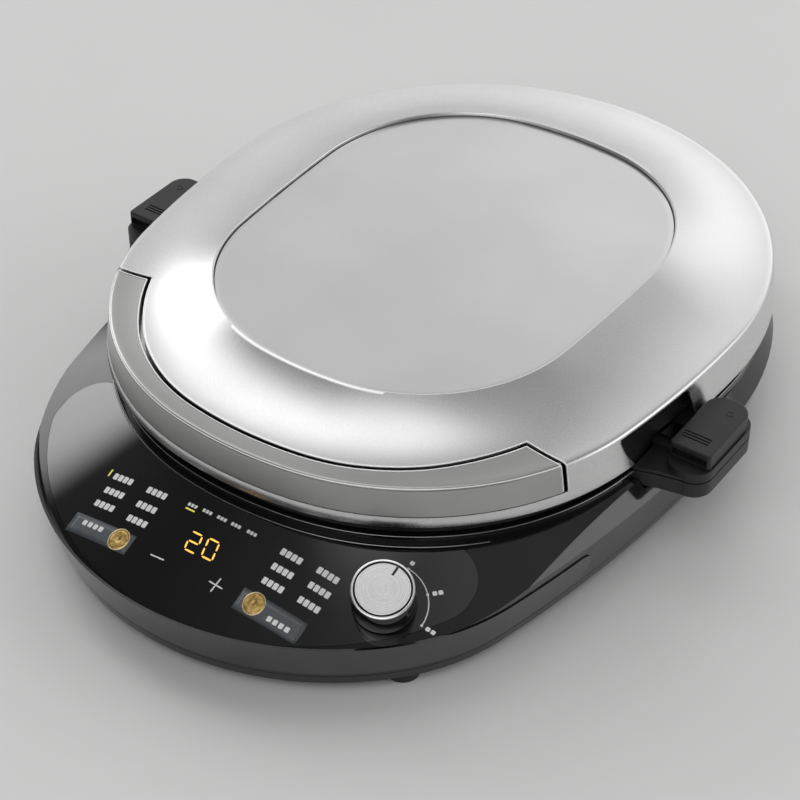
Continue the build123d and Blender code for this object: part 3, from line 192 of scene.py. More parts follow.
plainFinish = {"metal": 0.0, "bump": 0.0, "stretch": (1, 1, 1), "specular": 0.5, "ior": 1.5, "clouds": 14.0}
finishes = {  # two tones in soft clouds, the range of roughness, and grain and bump in millimetres
    "black_gloss": {"tones": [(0.006, 0.006, 0.007), (0.01, 0.01, 0.011)], "rough": (0.06, 0.11), "grain": 9.0,
                    "specular": 0.6},
    "black_matte": {"tones": [(0.012, 0.012, 0.013), (0.018, 0.018, 0.019)], "rough": (0.38, 0.50), "grain": 0.45,
                    "bump": 0.015, "specular": 0.45},
    "frame_black": {"tones": [(0.01, 0.01, 0.011), (0.018, 0.018, 0.019)], "rough": (0.25, 0.38), "grain": 0.6,
                    "bump": 0.012},
    "silver_lid": {"tones": [(0.66, 0.66, 0.66), (0.7, 0.7, 0.7)], "rough": (0.25, 0.31), "grain": 0.35, "metal": 1.0,
                   "bump": 0.006},
    "panel_silver": {"tones": [(0.64, 0.64, 0.64), (0.68, 0.68, 0.68)], "rough": (0.3, 0.37), "grain": 0.3,
                     "metal": 1.0, "bump": 0.008},
    "handle_grey": {"tones": [(0.41, 0.41, 0.405), (0.45, 0.45, 0.445)], "rough": (0.28, 0.35), "grain": 0.3,
                    "metal": 1.0, "bump": 0.004},
    # partly a bright-cut chamfer, partly painted highlight: near-white metal that keeps the rounded edges and beads
    # reading as white highlight lines under most light
    "bright_cut_highlight": {"tones": [(0.94, 0.94, 0.94), (0.97, 0.97, 0.97)], "rough": (0.50, 0.58), "grain": 0.5,
                    "metal": 1.0},
    "deck_glass": {"tones": [(0.004, 0.004, 0.005), (0.006, 0.006, 0.007)], "rough": (0.02, 0.05), "grain": 30.0,
                   "specular": 1.0, "ior": 1.6},
    "trim_steel": {"tones": [(0.1, 0.1, 0.105), (0.14, 0.14, 0.145)], "rough": (0.14, 0.22), "grain": 0.5,
                   "metal": 1.0, "stretch": (1, 1, 8)},
    "dial_metal": {"tones": [(0.62, 0.62, 0.63), (0.72, 0.72, 0.73)], "rough": (0.22, 0.32), "grain": 0.3,
                   "metal": 1.0, "bump": 0.004},
    "plate_coat": {"tones": [(0.024, 0.024, 0.026), (0.034, 0.034, 0.036)], "rough": (0.35, 0.55), "grain": 0.5,
                   "bump": 0.03},
    "sheet_metal": {"tones": [(0.62, 0.62, 0.63), (0.74, 0.74, 0.75)], "rough": (0.18, 0.34), "grain": 0.6,
                    "metal": 1.0, "bump": 0.01, "stretch": (1, 8, 1)},
    "tube_metal": {"tones": [(0.13, 0.12, 0.12), (0.22, 0.2, 0.18)], "rough": (0.35, 0.5), "grain": 1.5, "metal": 1.0,
                   "bump": 0.02},
    "plain_steel": {"tones": [(0.5, 0.5, 0.51), (0.62, 0.62, 0.62)], "rough": (0.22, 0.36), "grain": 0.5,
                    "metal": 1.0, "bump": 0.006},
    "ceramic": {"tones": [(0.72, 0.68, 0.6), (0.8, 0.77, 0.7)], "rough": (0.25, 0.4), "grain": 1.2, "bump": 0.02},
    "circuit": {"tones": [(0.01, 0.055, 0.022), (0.02, 0.09, 0.04)], "rough": (0.25, 0.4), "grain": 1.4, "bump": 0.02,
                "stretch": (1, 4, 1)},
    "relay_blue": {"tones": [(0.01, 0.028, 0.11), (0.016, 0.04, 0.15)], "rough": (0.25, 0.35), "grain": 1.0,
                   "bump": 0.01},
    "display": {"tones": [(0.006, 0.006, 0.006), (0.01, 0.01, 0.01)], "rough": (0.08, 0.14), "grain": 4.0},
    "rubber": {"tones": [(0.012, 0.012, 0.012), (0.02, 0.02, 0.02)], "rough": (0.6, 0.75), "grain": 0.6,
               "bump": 0.03},
}
materials = {}
for slotName, values in finishes.items():
    look = {**plainFinish, **values}
    material, tree, shader = newMaterial(slotName + "_look")
    shader.inputs["Specular IOR Level"].default_value = look["specular"]
    shader.inputs["IOR"].default_value = look["ior"]
    fine = noiseOn(tree, 1 / (look["grain"] * mm), 4.0, look["stretch"])
    clouds = noiseOn(tree, look["clouds"], 2.0)
    dress(tree, shader, look, clouds, fine)
    if look["bump"]:
        bumpOn(tree, shader, fine, look["bump"] * mm)
    materials[slotName] = material
slotOf = {part["node"]: part["material_slot"] for part in frame["record"]["subparts"]}
for nodeName, obj in cadNodes.items():
    obj.data.materials.clear()
    obj.data.materials.append(materials[slotOf[nodeName]])
print("materials:", len(materials))


def addObject(name, data):
    obj = bpy.data.objects.new(name, data)
    scene.collection.objects.link(obj)
    return obj


def weld(data, smooth, outward=False, melt=0.0):
    # joins corners that meet, and shades smooth up to an angle in degrees
    shape = bmesh.new()
    shape.from_mesh(data)
    bmesh.ops.remove_doubles(shape, verts=shape.verts, dist=weldReach)
    if outward:
        bmesh.ops.recalc_face_normals(shape, faces=shape.faces)
    if melt:
        bmesh.ops.dissolve_limit(shape, angle_limit=math.radians(melt), verts=shape.verts, edges=shape.edges)
    for face in shape.faces:
        face.smooth = True
    shape.to_mesh(data)
    shape.free()
    data.set_sharp_from_angle(angle=math.radians(smooth))


def meshObject(name, spots, faces, slots, smooth=35.0, outward=True):
    # spots in millimetres about the middle of the lid; slots are material names
    data = bpy.data.meshes.new(name)
    data.from_pydata([Vector((x, y + lidY, z)) * mm for x, y, z in spots], [], faces)
    weld(data, smooth, outward)
    for slotName in slots:
        data.materials.append(materials[slotName])
    return addObject(name, data)


def applyModifiers(obj):
    # the finished mesh takes the place of the modifiers
    bpy.context.view_layer.update()
    done = bpy.data.meshes.new_from_object(obj.evaluated_get(bpy.context.evaluated_depsgraph_get()))
    obj.modifiers.clear()
    obj.data = done


def bevelled(obj, width, angle, segments=2, bright=-1):
    # rounds the sharp edges, and gives the rounding the material in slot number bright; where that slot is the
    # near-white edge material, the rounding carries a painted highlight
    edge = obj.modifiers.new("edge", "BEVEL")
    edge.width = width * mm
    edge.segments = segments
    edge.limit_method = "ANGLE"
    edge.angle_limit = math.radians(angle)
    edge.material = bright
    applyModifiers(obj)


def gridFaces(rows, columns, closed=False, start=0, keep=None):
    # faces of a grid of spots; keep says which cells stay
    faces = []
    for row in range(rows - 1):
        for column in range(columns if closed else columns - 1):
            if keep and not keep(row, column):
                continue
            after = (column + 1) % columns
            faces.append((start + row * columns + column, start + row * columns + after,
                          start + (row + 1) * columns + after, start + (row + 1) * columns + column))
    return faces


def tubeFaces(rows, columns):
    # a closed tube with a face across each end
    ends = [tuple(range(columns))[::-1], tuple((rows - 1) * columns + i for i in range(columns))]
    return gridFaces(rows, columns, closed=True) + ends


def mirrored(spots, faces):
    # the left half joined to the right one
    count = len(spots)
    both = spots + [(-x, y, z) for x, y, z in spots]
    return both, faces + [tuple(count + i for i in reversed(face)) for face in faces]


lid = {"skirtZ": 69.4, "skirtFlare": 2.5, "rimZ": 92.0, "rimRound": 2.2, "crestZ": 105.0, "recessFloor": 101.5,
       "lip": [(-0.35, 104.98), (-0.75, 104.86), (-1.0, 104.5)], "wall": 1.2, "highlightBevel": 0.6, "stripTop": 75.0,
       "rimSteps": 5, "swoopSteps": 26, "footSteps": 2, "skirtSteps": 12,
       "sideColumns": (34, 12, 70), "frontColumns": 60, "endColumns": 6,
       "tipY": -104.5, "band": 13.5, "bandTurn": -76.0,
       "horn": [(-68.5, 13.9), (-54.3, 15.9), (-43.6, 18.6), (-30.2, 21.6)],
       "pocketTop": 89.5, "pocketHigh": 21.5, "pocketFront": -71.0, "pocketLean": 10.5, "pocketBend": 1.6,
       "pocketBack": (-8.0, -14.0), "pocketRound": 5.0}
skirtTop = lid["rimZ"] - lid["rimRound"]


def hornInset(turn):
    # how far the handle's inner edge lies inside the lid's outline
    spots = [(-90.0, lid["band"]), (lid["bandTurn"], lid["band"])] + lid["horn"]
    if turn <= lid["bandTurn"]:
        return lid["band"]
    for i in range(1, len(spots) - 1):
        (t1, d1), (t2, d2) = spots[i], spots[i + 1]
        if turn <= t2 + tiny:
            before = spots[max(i - 1, 0)]
            after = spots[min(i + 2, len(spots) - 1)]
            m1 = (d2 - before[1]) / (t2 - before[0])
            m2 = (after[1] - d1) / (after[0] - t1)
            run = t2 - t1
            f = (turn - t1) / run
            return ((2 * f ** 3 - 3 * f ** 2 + 1) * d1 + (f ** 3 - 2 * f ** 2 + f) * run * m1
                    + (3 * f ** 2 - 2 * f ** 3) * d2 + (f ** 3 - f ** 2) * run * m2)
    return spots[-1][1]


def lidTop(turn, share):
    # a point of the swoop: share 0 at the rim, 1 at the crest
    ax, ay, ar = arcAt(lidArcs, turn)
    bx, by, br = arcAt(panelArcs, turn)
    radius = ar + share * (br - ar) - lid["rimRound"] * (1 - share)
    angle = math.radians(turn)
    return (ax + share * (bx - ax) + radius * math.cos(angle), ay + share * (by - ay) + radius * math.sin(angle),
            lid["rimZ"] + (lid["crestZ"] - lid["rimZ"]) * share ** 2)


def shareAtInset(turn, inset):
    # the swoop's share at a distance inside the lid's outline
    ax, ay, ar = arcAt(lidArcs, turn)
    bx, by, br = arcAt(panelArcs, turn)
    angle = math.radians(turn)
    sideways = (bx - ax) * math.cos(angle) + (by - ay) * math.sin(angle)
    return (inset - lid["rimRound"]) / (ar - br - lid["rimRound"] - sideways)


def cutTurn(grow, pull=0.0):
    # where the line across the end of the handle meets an outline of the lid
    return turnAtY(lidArcs, lid["tipY"] - pull, grow)


def tipTurn(pull=0.0, inner=0.0):
    # where the same line meets the inner edge of the handle
    cy, radius = lidArcs[1][1:3]

    def isBelow(turn):
        return cy + (radius - hornInset(turn) + inner) * math.sin(math.radians(turn)) < lid["tipY"] - pull

    return narrowed(-60.0, -20.0, isBelow)


def endInset(turn, pull=0.0):
    # how far the same line lies inside the lid's outline
    cy, radius = lidArcs[1][1:3]
    return radius - (lid["tipY"] - pull - cy) / math.sin(math.radians(turn))


def skirtGrow(z):
    # the skirt flares out towards its foot
    return lid["skirtFlare"] * (skirtTop - z) / (skirtTop - lid["skirtZ"])


def rimSpot(angle):
    # grow and height on the rounded rim, from the skirt up to a quarter turn
    return lid["rimRound"] * (math.cos(angle) - 1), skirtTop + lid["rimRound"] * math.sin(angle)


def sideProfile():
    # grow and height from the skirt's foot up to the rim
    heights = between(lid["skirtZ"], lid["stripTop"], lid["footSteps"])[:-1]
    heights += between(lid["stripTop"], lid["pocketTop"], lid["skirtSteps"])
    profile = [(skirtGrow(z), z) for z in heights] + [(0.0, skirtTop)]
    return profile + [rimSpot(angle) for angle in between(0.0, math.pi / 2, lid["rimSteps"])[1:]]


def pocketFront(z):
    # the front edge leans back below, in a long curve
    fall = max(lid["pocketTop"] - z, 0.0) / lid["pocketHigh"]
    return lid["pocketFront"] + lid["pocketLean"] * fall ** lid["pocketBend"]


def pocketBack(z):
    # the back edge slopes, with a rounded top corner
    low, high = lid["pocketBack"]
    radius = lid["pocketRound"]
    z = min(z, lid["pocketTop"])
    bend = lid["pocketTop"] - radius
    y = low + (high - low) * min((z - lid["pocketTop"] + lid["pocketHigh"]) / (lid["pocketHigh"] - radius), 1.0)
    return y - (radius - math.sqrt(max(radius ** 2 - max(z - bend, 0.0) ** 2, 0.0)))


def makeLidShell():
    profile = sideProfile()
    counts = lid["sideColumns"]
    spots, faces = [], []
    # sides: from the handle's end to the pocket, over the pocket, and on round the back
    for grow, z in profile:
        stops = [cutTurn(grow), turnAtY(lidArcs, pocketFront(z), grow), turnAtY(lidArcs, pocketBack(z), grow), 90.0]
        rimTurns = stops[:1]
        for start, stop, count in zip(stops, stops[1:], counts):
            rimTurns += between(start, stop, count)[1:]
        spots += [(*planSpot(lidArcs, turn, grow), z) for turn in rimTurns]
    pocketTop = next(i for i, (grow, z) in enumerate(profile) if z > lid["pocketTop"] - small)

    def solid(row, column):
        return row >= pocketTop or not counts[0] <= column < counts[0] + counts[1]

    faces += gridFaces(len(profile), len(rimTurns), keep=solid)
    # strip of the skirt below the handle
    start = len(spots)
    strip = [spot for spot in profile if spot[1] <= lid["stripTop"] + small]
    for grow, z in strip:
        stripTurns = between(-90.0, cutTurn(grow), lid["frontColumns"])
        spots += [(*planSpot(lidArcs, turn, grow), z) for turn in stripTurns]
    faces += gridFaces(len(strip), len(stripTurns), start=start)
    # swoop: behind the handle, past its end and round the lid, then the lip of the recess
    tip = tipTurn()
    frontTurns = between(-90.0, tip, lid["frontColumns"])
    allTurns = frontTurns + between(tip, rimTurns[0], lid["endColumns"])[1:-1] + rimTurns
    start = len(spots)
    rows = lid["swoopSteps"]
    for row in range(rows + 1):
        for turn in allTurns:
            first = 0.0
            if turn < tip + small:
                first = shareAtInset(turn, hornInset(turn))
            elif turn < rimTurns[0] - small:
                first = shareAtInset(turn, endInset(turn))
            spots.append(lidTop(turn, first + (1 - first) * row / rows))
    lip = lid["lip"] + [(lid["lip"][-1][0], lid["recessFloor"])]
    for grow, z in lip:
        spots += [(*planSpot(panelArcs, turn, grow), z) for turn in allTurns]
    faces += gridFaces(rows + 1 + len(lip), len(allTurns), start=start)
    spots, faces = mirrored(spots, faces)
    obj = meshObject("lidShell", spots, faces, ["silver_lid", "bright_cut_highlight"], smooth=28.0)
    # outward normals: the shell opens downwards
    top = max(obj.data.polygons, key=lambda p: p.center.z if abs(p.normal.z) > 0.9 else 0)
    if top.normal.z < 0:
        obj.data.flip_normals()
    thick = obj.modifiers.new("wall", "SOLIDIFY")
    thick.thickness = lid["wall"] * mm
    thick.offset = -1.0
    thick.use_even_offset = True
    # the shell's sharp edges are rounded in the near-white slot: bright-cut edges with a painted highlight along them
    bevelled(obj, lid["highlightBevel"], angle=50, bright=1)
    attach(obj, "lid")
    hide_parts("lid_shell")
    return obj


lidShell = makeLidShell()
print("lid shell:", len(lidShell.data.polygons), "faces")

handle = {"gap": 2.1, "endGap": 2.1, "low": 75.5, "wall": 4.0, "round": 0.55, "columns": 70, "endColumns": 6,
          "rows": 6, "leastInset": 0.6, "leastWall": 0.5, "footGrow": 1.5, "innerDrop": 2.0}


def makeFrontHandle():
    # a closed section swept from the middle of the front to the tip, then mirrored
    pull, rows = handle["endGap"], handle["rows"]
    endInner = tipTurn(pull, handle["gap"])
    # the last columns lie past the tip, where the end line cuts the section
    turns = between(-90.0, endInner, handle["columns"])
    turns += between(endInner, cutTurn(0.0, pull), handle["endColumns"])[1:]
    sections = []
    for turn in turns:
        if turn <= endInner + tiny:
            inset = hornInset(turn) - handle["gap"]
        else:
            inset = max(endInset(turn, pull), handle["leastInset"])
        # over the top from the inner edge to the rim, down the front, and back up inside
        section = [lidTop(turn, max(share, 0.0)) for share in between(shareAtInset(turn, inset), 0.0, rows)]
        for angle in between(math.pi / 2, 0.0, lid["rimSteps"])[1:]:
            grow, z = rimSpot(angle)
            section.append((*planSpot(lidArcs, turn, grow), z))
        for z in between(skirtTop, handle["low"], rows)[1:]:
            section.append((*planSpot(lidArcs, turn, skirtGrow(z)), z))
        wall = max(min(handle["wall"], inset), handle["leastWall"])
        section.append((*planSpot(lidArcs, turn, handle["footGrow"] - wall), handle["low"]))
        section.append((*planSpot(lidArcs, turn, -wall), skirtTop - handle["innerDrop"]))
        x, y, z = lidTop(turn, shareAtInset(turn, inset))
        section.append((x, y, z - handle["wall"]))
        sections.append(section)
    columns = len(sections[0])
    spots = [spot for section in sections for spot in section]
    faces = [tuple(reversed(face)) for face in gridFaces(len(sections), columns, closed=True)]
    faces.append(tuple((len(sections) - 1) * columns + i for i in range(columns)))
    spots, faces = mirrored(spots, faces)
    obj = meshObject("frontHandle", spots, faces, ["handle_grey", "bright_cut_highlight"], smooth=32.0)
    # the handle's sharp edges are rounded in the near-white slot: bright-cut edges with a painted highlight along
    # them
    bevelled(obj, handle["round"], angle=40, segments=3, bright=1)
    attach(obj, "lid")
    return obj


frontHandle = makeFrontHandle()
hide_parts("front_handle")
print("front handle:", len(frontHandle.data.polygons), "faces")

panel = {"low": 101.45, "top": 102.8, "round": 0.5, "roundSteps": 3, "inset": 1.3, "flat": (4.0, 30.0),
         "columns": 120}


def makeLidPanel():
    profile = [(-panel["inset"], panel["low"]), (-panel["inset"], panel["top"] - panel["round"])]
    for angle in between(0.0, math.pi / 2, panel["roundSteps"])[1:]:
        profile.append((-panel["inset"] - panel["round"] * (1 - math.cos(angle)),
                        panel["top"] - panel["round"] * (1 - math.sin(angle))))
    profile += [(-panel["inset"] - reach, panel["top"]) for reach in panel["flat"]]
    spots = [spot for grow, z in profile for spot in loopOf(panelArcs, grow, z, panel["columns"])]
    obj = meshObject("lidPanel", spots, tubeFaces(len(profile), 2 * panel["columns"]), ["panel_silver"], smooth=40.0)
    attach(obj, "lid")
    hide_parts("lid_panel")
    return obj


lidPanel = makeLidPanel()
print("lid panel:", len(lidPanel.data.polygons), "faces")

sideParts = {"lower_handle": ("base", 0.5), "upper_handle": ("lid", 0.45), "latch_slider": ("latch_{}", 0.3)}
sideRounding = {"melt": 0.5, "smooth": 38.0, "edge": 45.0, "flatArea": 8.0}  # degrees, and square millimetres


def roundedCopy(node, body, width):
    # a CAD node's shape with its sharp edges rounded, width in millimetres
    data = cadNodes[node].data.copy()
    weld(data, sideRounding["smooth"], melt=sideRounding["melt"])
    first, *others = node.split("_")
    obj = addObject(first + "".join(word.title() for word in others), data)
    bevelled(obj, width, sideRounding["edge"])
    for face in obj.data.polygons:
        face.use_smooth = face.area < sideRounding["flatArea"] * mm * mm  # the wide faces are flat
    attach(obj, body)
    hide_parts(node)


def makeSideParts():
    for side in ("left", "right"):
        for node, (body, width) in sideParts.items():
            roundedCopy(node + "_" + side, body.format(side), width)
        cadNodes["latch_bolt_" + side].data.materials[0] = materials["trim_steel"]


makeSideParts()
print("side handles and latches ready")

dial = {"turn": -60.3, "run": 29.0, "sides": 128,
        # radius and height on the dial's axis
        "skirt": [(15.9, 0.7), (16.25, 0.82), (16.4, 1.2), (15.82, 15.3), (15.55, 15.6)],
        "cap": [(15.6, 15.6), (15.8, 15.75), (15.8, 16.55), (15.65, 16.88), (15.35, 17.0), (14.8, 16.98),
                (14.6, 16.85), (14.5, 16.3), (13.7, 16.3), (13.6, 16.8), (13.4, 16.92), (6.0, 16.92), (0.5, 16.92)],
        "darkRing": (13.6, 14.6), "darkBelow": 16.9,
        "markReach": 8.4, "markLength": 5.0, "markWidth": 1.3, "markHeights": (16.8, 16.97), "markRound": 0.06,
        "scaleRadius": 21.7, "scaleFrom": 62.0, "scaleTo": -28.0, "scaleBead": 0.32,
        "scaleTabs": [(0.0, 1.3), (3.6, 2.3), (6.6, 2.3)], "tabTurn": -60.0}  # tabs: distance out from the arc, size
deck = {"slope": 22.0, "height": 55.0}  # height at the lid's outline
slope = math.radians(deck["slope"])


def outsideLid(x, y):
    # distance outside the lid's outline at the front, and the direction away from it
    endX, endY, endRadius, _, endTurn = lidArcs[0]
    side = -1 if x < 0 else 1
    x = abs(x)
    cx, cy, radius = (endX, endY, endRadius) if math.degrees(math.atan2(y - endY, x)) < endTurn else lidArcs[1][:3]
    far = math.hypot(x - cx, y - cy)
    return far - radius, side * (x - cx) / far, (y - cy) / far


def deckSpot(x, y, lift=0.0):
    # a point over the sloping deck, and the deck's normal there
    out, ux, uy = outsideLid(x, y)
    normal = Vector((math.sin(slope) * ux, math.sin(slope) * uy, math.cos(slope)))
    return Vector((x, y, deck["height"] - out * math.tan(slope))) + normal * lift, normal


def dialFrame():
    cx, cy, radius = lidArcs[1][:3]
    angle = math.radians(dial["turn"])
    reach = radius + dial["run"]
    axis = Vector((math.sin(slope) * math.cos(angle), math.sin(slope) * math.sin(angle), math.cos(slope)))
    base = Vector((cx + reach * math.cos(angle), cy + reach * math.sin(angle),
                   deck["height"] - dial["run"] * math.tan(slope)))
    across = Vector((-math.sin(angle), math.cos(angle), 0.0))
    return base, across, axis.cross(across), axis


dialBase, dialAcross, dialUp, dialAxis = dialFrame()


def dialSpot(angle, reach, height=0.0):
    # a place about the dial's axis
    return dialBase + dialAxis * height + (dialAcross * math.cos(angle) + dialUp * math.sin(angle)) * reach


def turned(profile):
    # a closed piece turned on the dial's axis
    sides = dial["sides"]
    spots = [dialSpot(2 * math.pi * i / sides, radius, height) for radius, height in profile for i in range(sides)]
    return spots, tubeFaces(len(profile), sides)


def makeDial():
    skirt = meshObject("dialSkirt", *turned(dial["skirt"]), ["black_gloss"], smooth=40.0)
    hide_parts("dial_body")
    cap = meshObject("dialCap", *turned(dial["cap"]), ["dial_spun", "black_gloss"], smooth=30.0)
    # the floor and walls of the groove round the disc are black
    inner, outer = dial["darkRing"]
    for face in cap.data.polygons:
        centre = Vector(face.center) / mm - Vector((0, lidY, 0)) - dialBase
        height = centre.dot(dialAxis)
        if inner < (centre - dialAxis * height).length < outer and height < dial["darkBelow"]:
            face.material_index = 1
    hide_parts("dial_cap")
    # pointer: a short notch of black at the rim of the disc
    way = math.radians(dial["scaleFrom"])
    along = dialAcross * math.cos(way) + dialUp * math.sin(way)
    side = dialAxis.cross(along)
    corners = []
    for height in dial["markHeights"]:
        for run, wide in ((0, -0.5), (0, 0.5), (1, 0.5), (1, -0.5)):
            corners.append(dialBase + dialAxis * height + along * (dial["markReach"] + run * dial["markLength"])
                           + side * wide * dial["markWidth"])
    pointer = meshObject("dialPointer", corners, tubeFaces(2, 4), ["black_matte"])
    bevelled(pointer, dial["markRound"], angle=30, segments=1)
    for obj in (skirt, cap, pointer):
        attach(obj, "dial")


spun = {"rings": 2600.0, "tones": [(0.84, 0.84, 0.84), (0.92, 0.92, 0.92)], "rough": (0.2, 0.34), "metal": 1.0,
        "bump": 0.01}


def makeSpunFinish():
    # fine rings about the dial's axis
    material, tree, shader = newMaterial("dial_spun")
    centre = (dialBase + Vector((0, lidY, 0))) * mm
    place = addNode(tree, "ShaderNodeTexCoord")
    offset = addNode(tree, "ShaderNodeVectorMath", {1: centre}, operation="SUBTRACT")
    crossed = addNode(tree, "ShaderNodeVectorMath", {1: dialAxis}, operation="CROSS_PRODUCT")
    radius = addNode(tree, "ShaderNodeVectorMath", operation="LENGTH")
    rings = addNode(tree, "ShaderNodeTexNoise", {"Scale": spun["rings"], "Detail": 2.0}, noise_dimensions="1D")
    wire(tree, (place, "Object", offset, 0), (offset, "Vector", crossed, 0), (crossed, "Vector", radius, 0),
         (radius, "Value", rings, "W"))
    fine = rings.outputs["Fac"]
    dress(tree, shader, spun, fine, fine)
    bumpOn(tree, shader, fine, spun["bump"] * mm)
    materials["dial_spun"] = material


makeSpunFinish()
makeDial()
print("dial ready")


def newTree(name, inputs):
    # inputs: name, socket type, first value
    tree = bpy.data.node_groups.new(name, "GeometryNodeTree")
    tree.interface.new_socket("Geometry", in_out="INPUT", socket_type="NodeSocketGeometry")
    tree.interface.new_socket("Geometry", in_out="OUTPUT", socket_type="NodeSocketGeometry")
    for label, kind, value in inputs:
        socket = tree.interface.new_socket(label, in_out="INPUT", socket_type=kind)
        if value is not None:
            socket.default_value = value
    start = tree.nodes.new("NodeGroupInput")
    end = tree.nodes.new("NodeGroupOutput")
    return tree, start, end


def runTree(obj, tree, values):
    modifier = obj.modifiers.new("nodes", "NODES")
    modifier.node_group = tree
    sockets = {item.name: item.identifier for item in tree.interface.items_tree
               if item.item_type == "SOCKET" and item.in_out == "INPUT"}
    for label, value in values.items():
        modifier[sockets[label]] = value
    applyModifiers(obj)
    obj.data.name = obj.name


def buildBeadTree():
    # a line of edges becomes a thin bead
    tree, start, end = newTree("beadAlongLine", [
        ("Radius", "NodeSocketFloat", 0.0004), ("Sides", "NodeSocketInt", 8), ("Finish", "NodeSocketMaterial", None)])
    line = addNode(tree, "GeometryNodeMeshToCurve")
    circle = addNode(tree, "GeometryNodeCurvePrimitiveCircle")
    sweep = addNode(tree, "GeometryNodeCurveToMesh", {"Fill Caps": True})
    smooth = addNode(tree, "GeometryNodeSetShadeSmooth")
    realize = addNode(tree, "GeometryNodeRealizeInstances")
    paint = addNode(tree, "GeometryNodeSetMaterial")
    wire(tree, (start, "Geometry", line, "Mesh"), (start, "Radius", circle, "Radius"),
         (start, "Sides", circle, "Resolution"), (line, "Curve", sweep, "Curve"),
         (circle, "Curve", sweep, "Profile Curve"), (sweep, "Mesh", smooth, "Geometry"),
         (smooth, "Geometry", realize, "Geometry"), (realize, "Geometry", paint, "Geometry"),
         (start, "Finish", paint, "Material"), (paint, "Geometry", end, "Geometry"))
    return tree


def buildLabelTree():
    # small printed tabs on points: each point says how its tab is turned and how big it is
    tree, start, end = newTree("labelTabs", [
        ("Side", "NodeSocketFloat", 0.001), ("Corner", "NodeSocketFloat", 0.0003),
        ("Thickness", "NodeSocketFloat", 0.00006), ("Finish", "NodeSocketMaterial", None)])
    outline = addNode(tree, "GeometryNodeCurvePrimitiveQuadrilateral")
    corner = addNode(tree, "GeometryNodeFilletCurve", {"Count": 3}, mode="POLY")
    fill = addNode(tree, "GeometryNodeFillCurve", mode="NGONS")
    thick = addNode(tree, "GeometryNodeExtrudeMesh", {"Individual": False})
    flip = addNode(tree, "GeometryNodeFlipFaces")
    both = addNode(tree, "GeometryNodeJoinGeometry")
    turn = addNode(tree, "GeometryNodeInputNamedAttribute", {"Name": "turn"}, data_type="FLOAT_VECTOR")
    size = addNode(tree, "GeometryNodeInputNamedAttribute", {"Name": "size"}, data_type="FLOAT_VECTOR")
    place = addNode(tree, "GeometryNodeInstanceOnPoints")
    realize = addNode(tree, "GeometryNodeRealizeInstances")
    paint = addNode(tree, "GeometryNodeSetMaterial")
    wire(tree, (start, "Side", outline, "Width"), (start, "Side", outline, "Height"),
         (outline, "Curve", corner, "Curve"), (start, "Corner", corner, "Radius"), (corner, "Curve", fill, "Curve"),
         (fill, "Mesh", thick, "Mesh"), (start, "Thickness", thick, "Offset Scale"), (fill, "Mesh", flip, "Mesh"),
         (thick, "Mesh", both, "Geometry"), (flip, "Mesh", both, "Geometry"),
         (start, "Geometry", place, "Points"), (both, "Geometry", place, "Instance"),
         (turn, "Attribute", place, "Rotation"), (size, "Attribute", place, "Scale"),
         (place, "Instances", realize, "Geometry"), (realize, "Geometry", paint, "Geometry"),
         (start, "Finish", paint, "Material"), (paint, "Geometry", end, "Geometry"))
    return tree


beadTree = buildBeadTree()
labelTree = buildLabelTree()

plainPrint = {"glow": 0.0, "metal": 0.0, "grain": 900.0}
printFinishes = {  # two tones and the range of roughness; glow, metal and grain where they aren't the plain ones
    "print_white": {"tones": [(0.82, 0.82, 0.82), (0.90, 0.90, 0.90)], "rough": (0.4, 0.5)},
    "lamp_amber": {"tones": [(0.80, 0.42, 0.05), (1.0, 0.55, 0.10)], "rough": (0.35, 0.45), "glow": 0.9},
    "lamp_yellow": {"tones": [(0.62, 0.62, 0.10), (0.80, 0.78, 0.14)], "rough": (0.35, 0.45), "glow": 0.35},
    "key_grey": {"tones": [(0.085, 0.095, 0.105), (0.105, 0.115, 0.125)], "rough": (0.3, 0.4)},
    "disc_gold": {"tones": [(0.30, 0.16, 0.03), (0.75, 0.52, 0.18)], "rough": (0.3, 0.4), "metal": 0.6,
                  "grain": 420.0},
    "disc_rim": {"tones": [(0.62, 0.50, 0.28), (0.78, 0.66, 0.40)], "rough": (0.25, 0.35), "metal": 0.8},
    "edge_dark": {"tones": [(0.30, 0.30, 0.305), (0.36, 0.36, 0.365)], "rough": (0.17, 0.27), "metal": 1.0},
}
for slotName, values in printFinishes.items():
    look = {**plainPrint, **values}
    material, tree, shader = newMaterial(slotName)
    grain = noiseOn(tree, look["grain"], 2.0)
    dress(tree, shader, look, grain, grain)
    if look["glow"]:
        shader.inputs["Emission Color"].default_value = (*look["tones"][1], 1)
        shader.inputs["Emission Strength"].default_value = look["glow"]
    materials[slotName] = material


def lineObject(name, line, radius, slotName, body, closed=False):
    spots = [Vector((x, y + lidY, z)) * mm for x, y, z in line]
    edges = [(i, i + 1) for i in range(len(line) - 1)]
    if closed:
        edges.append((len(line) - 1, 0))
    data = bpy.data.meshes.new(name)
    data.from_pydata(spots, edges, [])
    obj = addObject(name, data)
    runTree(obj, beadTree, {"Radius": radius * mm, "Sides": 8, "Finish": materials[slotName]})
    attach(obj, body)


